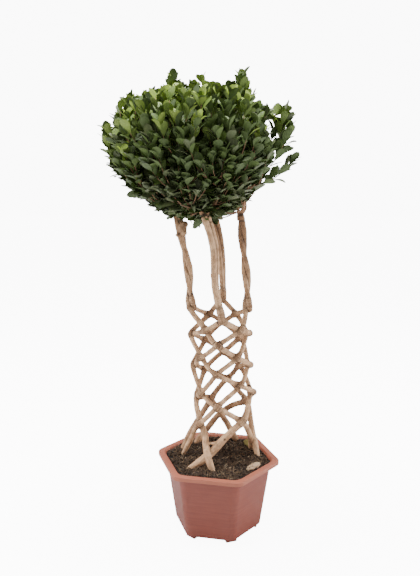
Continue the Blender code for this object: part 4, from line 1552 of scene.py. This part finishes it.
class LeafCutter:
    """Leaf templates, modelled once each, and the copies laid out from them."""

    rows: Stations = (
        (0.0, 0.055), (0.10, 0.06), (0.30, 0.50), (0.52, 0.90),
        (0.70, 1.00), (0.86, 0.80), (0.955, 0.46), (1.0, 0.10),
    )
    looks = ((0.16, 0.10, 0.0), (0.30, 0.18, 0.10), (0.10, 0.02, -0.08), (0.22, -0.05, 0.05))
    width = 0.52

    def __init__(self) -> None:
        """Models four leaves that differ in how they fold, arch and twist."""
        self.shapes = [self.template(*look) for look in self.looks]
        self.points: dict[LeafTone, list[np.ndarray]] = {tone: [] for tone in LeafTone}

    def template(self, fold: float, arch: float, twist: float) -> np.ndarray:
        """Models one leaf, a metre long, with its base at the origin and its tip along +Y.

        Args:
            fold: How far its sides rise from the midrib.
            arch: How far its tip droops.
            twist: How far it turns about its length.

        Returns:
            Its corners.
        """
        last = len(self.rows) - 1
        leaf = settle(added(
            bpy.ops.mesh.primitive_grid_add,
            x_subdivisions=2, y_subdivisions=last, size=1.0, location=(0.0, 0.5, 0.0),
        ), "leaf_template")
        points = read_points(leaf)
        self.uvs = points[:, :2] + (0.5, 0.0)
        self.faces = np.array([tuple(face.vertices) for face in leaf.data.polygons])
        for point in points:
            share, width = self.rows[round(point[1] * last)]
            side = point[0] * self.width * width
            droop = -arch * share * share + 0.04 * math.sin(math.pi * share)
            angle = twist * share
            point[:] = side * math.cos(angle), share, droop + fold * abs(side) + side * math.sin(angle)
        bpy.data.objects.remove(leaf, do_unlink=True)
        return points

    def lay(
        self, tone: LeafTone, root: Vector, along: Vector, face_up: Vector, length: float, shape: int,
    ) -> None:
        """Lays out one leaf.

        Args:
            tone: Its colour.
            root: Where it leaves its twig.
            along: The way to its tip.
            face_up: The side that its upper face looks to.
            length: Its length in metres.
            shape: The number of its template.
        """
        side = along.cross(face_up).normalized()
        turn = np.array((side, along, side.cross(along)))
        self.points[tone].append(self.shapes[shape] @ turn * length + np.array(root + POT_MIDDLE))

    def build(self, masses: Sequence[str]) -> None:
        """Joins the leaves of each tone into one piece and dresses it.

        Args:
            masses: The CAD nodes that they stand for.
        """
        for tone, leaves in self.points.items():
            faces = np.concatenate([self.faces + len(self.uvs) * i for i in range(len(leaves))])
            uvs = np.tile(self.uvs, (len(leaves), 1))
            piece = smooth(array_mesh(f"leaves_{tone.value}", np.concatenate(leaves), faces, uvs))
            finish = LeafFinish(f"leaf_{tone.value}", *LEAF_LOOKS[tone])
            dress(piece, finish.build(), "foliage", *masses)


class Crown:
    """Boughs, twigs and leaves, grown on from the columns by the solids' rule."""

    def __init__(self, plan: CrownPlan, strands: Sequence[Strand]) -> None:
        """Draws the boughs and leaders and the seed of each mass.

        Args:
            plan: The crown's sizes.
            strands: The eight stems.
        """
        self.plan = plan
        self.dice = random.Random(2)
        self.limbs: dict[str, Limb] = {}
        self.seeds: dict[str, Vector] = {}
        for strand in strands:
            angle = strand.column.angle - strand.hand * plan.side_spread
            rising = -strand.heading(-1.0)
            ways = rising, rising + outward(angle) * plan.flare
            end = plan.point(angle, *plan.side_end)
            name = strand.name
            self.limbs[name] = Limb(plan, "bough_" + name, strand.point(-1.0), ways, end, plan.bough_radii)
            self.seeds[name] = plan.point(angle, *plan.side_seed)
        for first, second in zip(strands[::2], strands[1::2]):
            column = first.column
            middle = (first.point(-1.0) + second.point(-1.0)) / 2
            rising = -(first.heading(-1.0) + second.heading(-1.0)).normalized()
            start = middle - outward(first.start) * plan.leader_inset
            end = plan.point(column.angle, *plan.leader_end)
            limb = Limb(plan, "leader_" + column.name, start, (rising, rising), end, plan.leader_radii)
            self.limbs["top_" + column.name] = limb
            self.seeds["top_" + column.name] = plan.point(column.angle, *plan.top_seed)
        self.stems = {name: self.mass_stem(limb, self.seeds[name]) for name, limb in self.limbs.items()}
        self.twigs: list[Twig] = []

    def mass_stem(self, limb: Limb, seed: Vector) -> list[Vector]:
        """The stem that a mass's shoots branch from, grown on from its limb.

        Args:
            limb: The bough or leader.
            seed: The mass's middle.

        Returns:
            The stem's points.
        """
        foot, heading = limb.end, limb.heading
        control = foot + heading * (seed - foot).length * self.plan.pull
        low = [foot, foot + heading * self.plan.lead_in]
        return low + [bezier(foot, control, seed, share) for share in (0.4, 0.7, 1.0)]

    def tips(self, count: int, offset: float, depth: float = 0.0) -> list[Vector]:
        """Shoot tips, spread evenly over the bowl.

        Args:
            count: How many.
            offset: A turn that sets one spread off from another.
            depth: The largest share of the reach that a tip may stay behind.

        Returns:
            The tips.
        """
        floor = math.sin(self.plan.low)
        tips = []
        for index in range(count):
            rise = floor + (1.0 - floor) * (index + 0.5) / count
            level = math.sqrt(1.0 - rise * rise)
            turn = index * GOLDEN_TURN + offset
            way = Vector((level * math.cos(turn), level * math.sin(turn), rise))
            uneven = 1.0 + 0.13 * noise.noise(way * 4.6) + 0.055 * math.sin(index * 2.3)
            uneven -= depth * (0.35 + 0.65 * self.dice.random())
            tips.append(self.plan.focus + way * (self.plan.reach(way) * uneven - self.plan.tip_room))
        return tips

    def sprout(
        self, start: Vector, tip: Vector, index: int, radii: Pair, leafy_from: float, droop: float = 1.0,
        free: bool = False,
    ) -> Twig:
        """Adds a twig that sags a little and then rises to its tip.

        Args:
            start: Where it branches.
            tip: Where it ends.
            index: Its number, for its leaves.
            radii: Its radius at the start and at the tip.
            leafy_from: The share of its length that is bare.
            droop: How much it sags, against the plan.
            free: Whether its leaves may leave the bowl.

        Returns:
            The twig.
        """
        plan = self.plan
        level = Vector((tip.x - start.x, tip.y - start.y, 0.0))
        sag = Vector((0.0, 0.0, plan.sag * droop * (tip - start).length))
        control = start.lerp(tip, 0.5) + level * plan.spread - sag
        steps = 6 if radii[0] < 0.0015 else 9
        points = [bezier(start, control, tip, i / steps) for i in range(steps + 1)]
        for i in range(1, steps):
            points[i] += noise.noise_vector(Vector((index * 1.7, i * 0.6, 3.0))) * 0.0022
        self.twigs.append(Twig(points, taper(radii, steps), index, leafy_from, free))
        return self.twigs[-1]

    def grow(self) -> None:
        """Grows the shoots of every mass, and the finer twigs that branch from them."""
        plan = self.plan
        self.twigs += [Twig(stem, plan.stem_radii, 0, 2.0) for stem in self.stems.values()]
        tall = [Vector(tip) for tip in plan.tall]
        tall = [tip - (tip - plan.focus).normalized() * plan.tip_room for tip in tall]
        joints = []
        for index, tip in enumerate(self.tips(plan.shoots, 0.0) + tall):
            stem = self.stems[min(self.seeds, key=lambda name: (self.seeds[name] - tip).length)]
            first, last = plan.joints
            place = first + (last - first) * ((index * 0.618) % 1.0)
            joint = int(place)
            start = stem[joint].lerp(stem[joint + 1], place - joint)
            shoot = self.sprout(start, tip, index, plan.shoot_radii, 0.30, free=index >= plan.shoots)
            joints += shoot.points[2:7]
        self.skirt()
        places = np.array(joints)
        sides = self.tips(plan.outer_twigs, 1.1) + self.tips(plan.inner_twigs, 2.7, 0.42)
        bound = len(sides)
        drops = [Vector((0.0, 0.0, 0.010 + 0.011 * k)) for k in range(plan.companions)]
        beside = [outward(137.0 * k) * 0.017 - drop for k, drop in enumerate(drops)]
        sides += [tip + step for tip in tall if tip.z > plan.companions_over for step in beside]
        for index, tip in enumerate(sides):
            off = np.array(tip) - places
            level = np.linalg.norm(off[:, :2], axis=1)
            apart = np.linalg.norm(off, axis=1)
            cost = np.abs(apart - 0.075) + 0.5 * np.maximum(0.0, level - 0.75 * off[:, 2])
            start = joints[int(np.argmin(cost))]
            self.sprout(start, tip, index + 200, plan.twig_radii, 0.12, free=index >= bound)

    def skirt(self) -> None:
        """Low shoots that leave the side boughs and follow the bowl's underside."""
        plan = self.plan
        sides = [limb for name, limb in self.limbs.items() if not name.startswith("top")]
        for number, limb in enumerate(sides):
            away = Vector((limb.end.x - plan.middle[0], limb.end.y - plan.middle[1], 0.0)).normalized()
            for k in range(plan.skirt_twigs):
                swing = math.radians(-16.0 + 15.0 * k + 5.0 * math.sin(number * 2.1))
                turn = Matrix.Rotation(swing, 3, "Z")
                rise = math.radians(12.0 + 9.0 * k + 5.0 * math.sin(number * 3.7))
                way = (turn @ away) * math.cos(rise) + Vector((0.0, 0.0, math.sin(rise)))
                tip = plan.focus + way * (plan.reach(way) - plan.tip_room * 0.6)
                index = plan.skirt_number + number * 5 + k
                self.sprout(limb.points[5 + 3 * k], tip, index, plan.skirt_radii, 0.48, 1.6)

    def tone(self, tip: Vector, share: float, spray: float) -> LeafTone:
        """The colour of a leaf, dealt by its spray and its place: the place paints light and shade, lighter
        high on the crown and to its left, darker low down.

        Args:
            tip: The end of its twig.
            share: How far along the twig it stands.
            spray: The twig's own chance, from 0 to 1.

        Returns:
            The tone.
        """
        # sunny is painted light: the higher and further left, the lighter the leaf
        height, left = (tip.z - 0.84) / 0.20, -(tip.x - self.plan.middle[0]) / 0.22
        sunny = height + 0.22 * left + 0.55 * (spray - 0.5)
        chance = self.dice.random()
        if share > 0.82 and sunny > 0.45 and chance < 0.60:
            return LeafTone.YOUNG
        if share > 0.55 and sunny > 0.30 and chance < 0.60:
            return LeafTone.FRESH
        if sunny < 0.05:
            return LeafTone.DUSKY if spray > 0.45 else LeafTone.DEEP
        if sunny < 0.35 and chance > 0.8:
            return LeafTone.DUSKY
        return LeafTone.GREEN if chance < 0.25 + 0.6 * share else LeafTone.DEEP

    def leaf(
        self, cutter: LeafCutter, twig: Twig, root: Vector, heading: Vector, turn: float, share: float,
    ) -> None:
        """Lays one leaf on a twig, unless it would leave the crown's reach.

        Args:
            cutter: The leaf cutter.
            twig: The twig.
            root: Where the leaf starts.
            heading: The twig's direction there.
            turn: The leaf's turn round the twig.
            share: How far along the twig it stands.
        """
        dice, plan = self.dice, self.plan
        lean = math.radians(56.0 - 28.0 * share + dice.uniform(-9.0, 9.0))
        around = Matrix.Rotation(turn, 3, heading) @ heading.orthogonal().normalized()
        lift = Vector((0.0, 0.0, 0.30))
        along = (heading * math.cos(lean) + around * math.sin(lean) + lift).normalized()
        face_up = (heading * math.sin(lean) - around * math.cos(lean) + lift * 2.2).normalized()
        length = plan.leaf_length * dice.uniform(0.84, 1.14) * (1.0 if share < 0.8 else 1.45 - 0.6 * share)
        room = plan.end_room if share > 0.8 or twig.index >= plan.skirt_number else plan.leaf_room
        if not twig.free and not plan.holds(root + along * length, room) and dice.random() > 0.04:
            return
        tone = self.tone(twig.points[-1], share, self.spray)
        cutter.lay(tone, root, along, face_up, length, dice.randrange(len(cutter.shapes)))

    def leaves(self) -> LeafCutter:
        """Lays the leaves of every twig.

        Returns:
            The cutter that holds them.
        """
        cutter = LeafCutter()
        for twig in self.twigs:
            self.spray = self.dice.random()
            steps = [second - first for first, second in zip(twig.points, twig.points[1:])]
            lengths = [0.0]
            for step in steps:
                lengths.append(lengths[-1] + step.length)
            total = lengths[-1]
            place = total * twig.leafy_from
            turn = twig.index * 1.7
            while place < total:
                i = max(j for j in range(len(steps)) if lengths[j] <= place)
                share = (place - lengths[i]) / (lengths[i + 1] - lengths[i])
                root = twig.points[i].lerp(twig.points[i + 1], share)
                self.leaf(cutter, twig, root, steps[i].normalized(), turn, place / total)
                place += self.plan.spacing * self.dice.uniform(0.8, 1.2) * (1.1 - 0.35 * place / total)
                turn += GOLDEN_TURN
            heading = steps[-1].normalized()
            for k in range(4 if twig.leafy_from < 1.0 else 0):
                root = twig.points[-1] - heading * 0.002 * k
                self.leaf(cutter, twig, root, heading, turn + k * 1.6, 0.97)
        return cutter

    def wood(self) -> Object:
        """All twigs as one joined mesh of five-sided tubes.

        Returns:
            The piece.
        """
        sides = 5
        points, faces = [], []
        for twig in self.twigs:
            last = len(twig.points) - 1
            for i, (place, radius) in enumerate(zip(twig.points, twig.radii)):
                ahead = (twig.points[min(i + 1, last)] - twig.points[max(i - 1, 0)]).normalized()
                side = ahead.orthogonal().normalized()
                if i and side.dot(previous) < 0.9:
                    side = (previous - ahead * previous.dot(ahead)).normalized()
                previous = side
                across = ahead.cross(side)
                low = len(points)
                for k in range(sides):
                    angle, after = math.tau * k / sides, (k + 1) % sides
                    off = (side * math.cos(angle) + across * math.sin(angle)) * radius
                    points.append(place + POT_MIDDLE + off)
                    if i < last:
                        faces.append((low + k, low + after, low + sides + after, low + sides + k))
        wood = array_mesh("twigs", np.array(points), np.array(faces))
        with editing(wood):
            bpy.ops.mesh.select_all(action="DESELECT")
            bpy.ops.mesh.select_mode(type="EDGE")
            bpy.ops.mesh.select_non_manifold(extend=False)
            bpy.ops.mesh.edge_face_add()
        return smooth(wood)

    def build(self) -> None:
        """Grows the crown and dresses its twigs and leaves."""
        self.grow()
        masses = ["foliage_" + name for name in self.limbs]
        dress(self.wood(), TwigFinish().build(), "bough_bark", *masses)
        self.leaves().build(masses)


# The studio


@dataclass(frozen=True)
class Studio:
    """Pale floor, soft lights and the camera at the photograph's angle."""

    camera_place: tuple = (-0.0186, -1.3564, 0.8090)
    pitch_down: float = 9.645
    lens: float = 37.5
    sensor: float = 36.0
    backdrop: float = 9.6
    sky_light: float = 0.63
    lamps: tuple = (
        ("top_light", (-0.25, -0.1, 3.0), (0.0, 0.0, 0.5), 1.5, 205.0),
        ("left_light", (-2.2, -0.15, 1.4), (0.0, 0.0, 0.6), 1.0, 44.0),
        ("right_light", (2.3, 0.1, 1.1), (0.0, 0.0, 0.5), 1.0, 54.0),
    )

    def hang(self, data: bpy.types.ID, place: Vector) -> Object:
        """Puts a camera or a light at this place of the scene.

        Args:
            data: The camera's or light's data.
            place: Where it hangs.

        Returns:
            The object.
        """
        obj = bpy.data.objects.new(data.name, data)
        obj.location = place
        bpy.context.scene.collection.objects.link(obj)
        return obj

    def camera(self) -> None:
        """Sets up the scene's camera."""
        data = bpy.data.cameras.new("camera")
        data.lens, data.sensor_width = self.lens, self.sensor
        camera = self.hang(data, Vector(self.camera_place) + POT_MIDDLE)
        camera.rotation_euler.x = math.radians(90.0 - self.pitch_down)
        bpy.context.scene.camera = camera

    def area(self, name: str, place: tuple, aim: tuple, size: float, watts: float) -> None:
        """Adds a square soft light.

        Args:
            name: Its name.
            place: Where it hangs.
            aim: The point that it faces.
            size: Its side in metres.
            watts: Its power.
        """
        data = bpy.data.lights.new(name, "AREA")
        data.size, data.energy = size, watts
        lamp = self.hang(data, place)
        lamp.rotation_euler = (Vector(aim) - Vector(place)).to_track_quat("-Z", "Y").to_euler()

    def build(self) -> None:
        """Builds the studio."""
        plane = added(bpy.ops.mesh.primitive_plane_add, size=30.0, location=(0.0, 0.0, -0.0006))
        floor = settle(plane, "studio_floor")
        floor.data.materials.append(FloorFinish().build())
        world = bpy.data.worlds.new("studio")
        world.use_nodes = True
        graph = Graph(world.node_tree)
        behind = world.node_tree.nodes["Background"].inputs
        seen = graph.add("LightPath").outputs["Is Camera Ray"]
        graph.feed(behind["Color"], (1.0, 1.0, 1.0))
        graph.feed(behind["Strength"], graph.math("ADD", graph.times(seen, self.backdrop), self.sky_light))
        bpy.context.scene.world = world
        for lamp in self.lamps:
            self.area(*lamp)
        self.camera()


def main() -> None:
    """Builds the plant in order; each piece logs its number of faces as it is dressed."""
    logging.basicConfig(level=logging.INFO, format="%(message)s")
    # noise_vector starts from the clock where no seed is set
    noise.seed_set(NOISE_SEED)
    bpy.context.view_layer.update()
    trunk = WovenTrunk(LatticePlan())
    crown = Crown(CrownPlan(), trunk.strands)
    Tub().build()
    SoilBed().build()
    trunk.build(crown.limbs.values())
    crown.build()
    Studio().build()


if __name__ == "__main__":
    main()
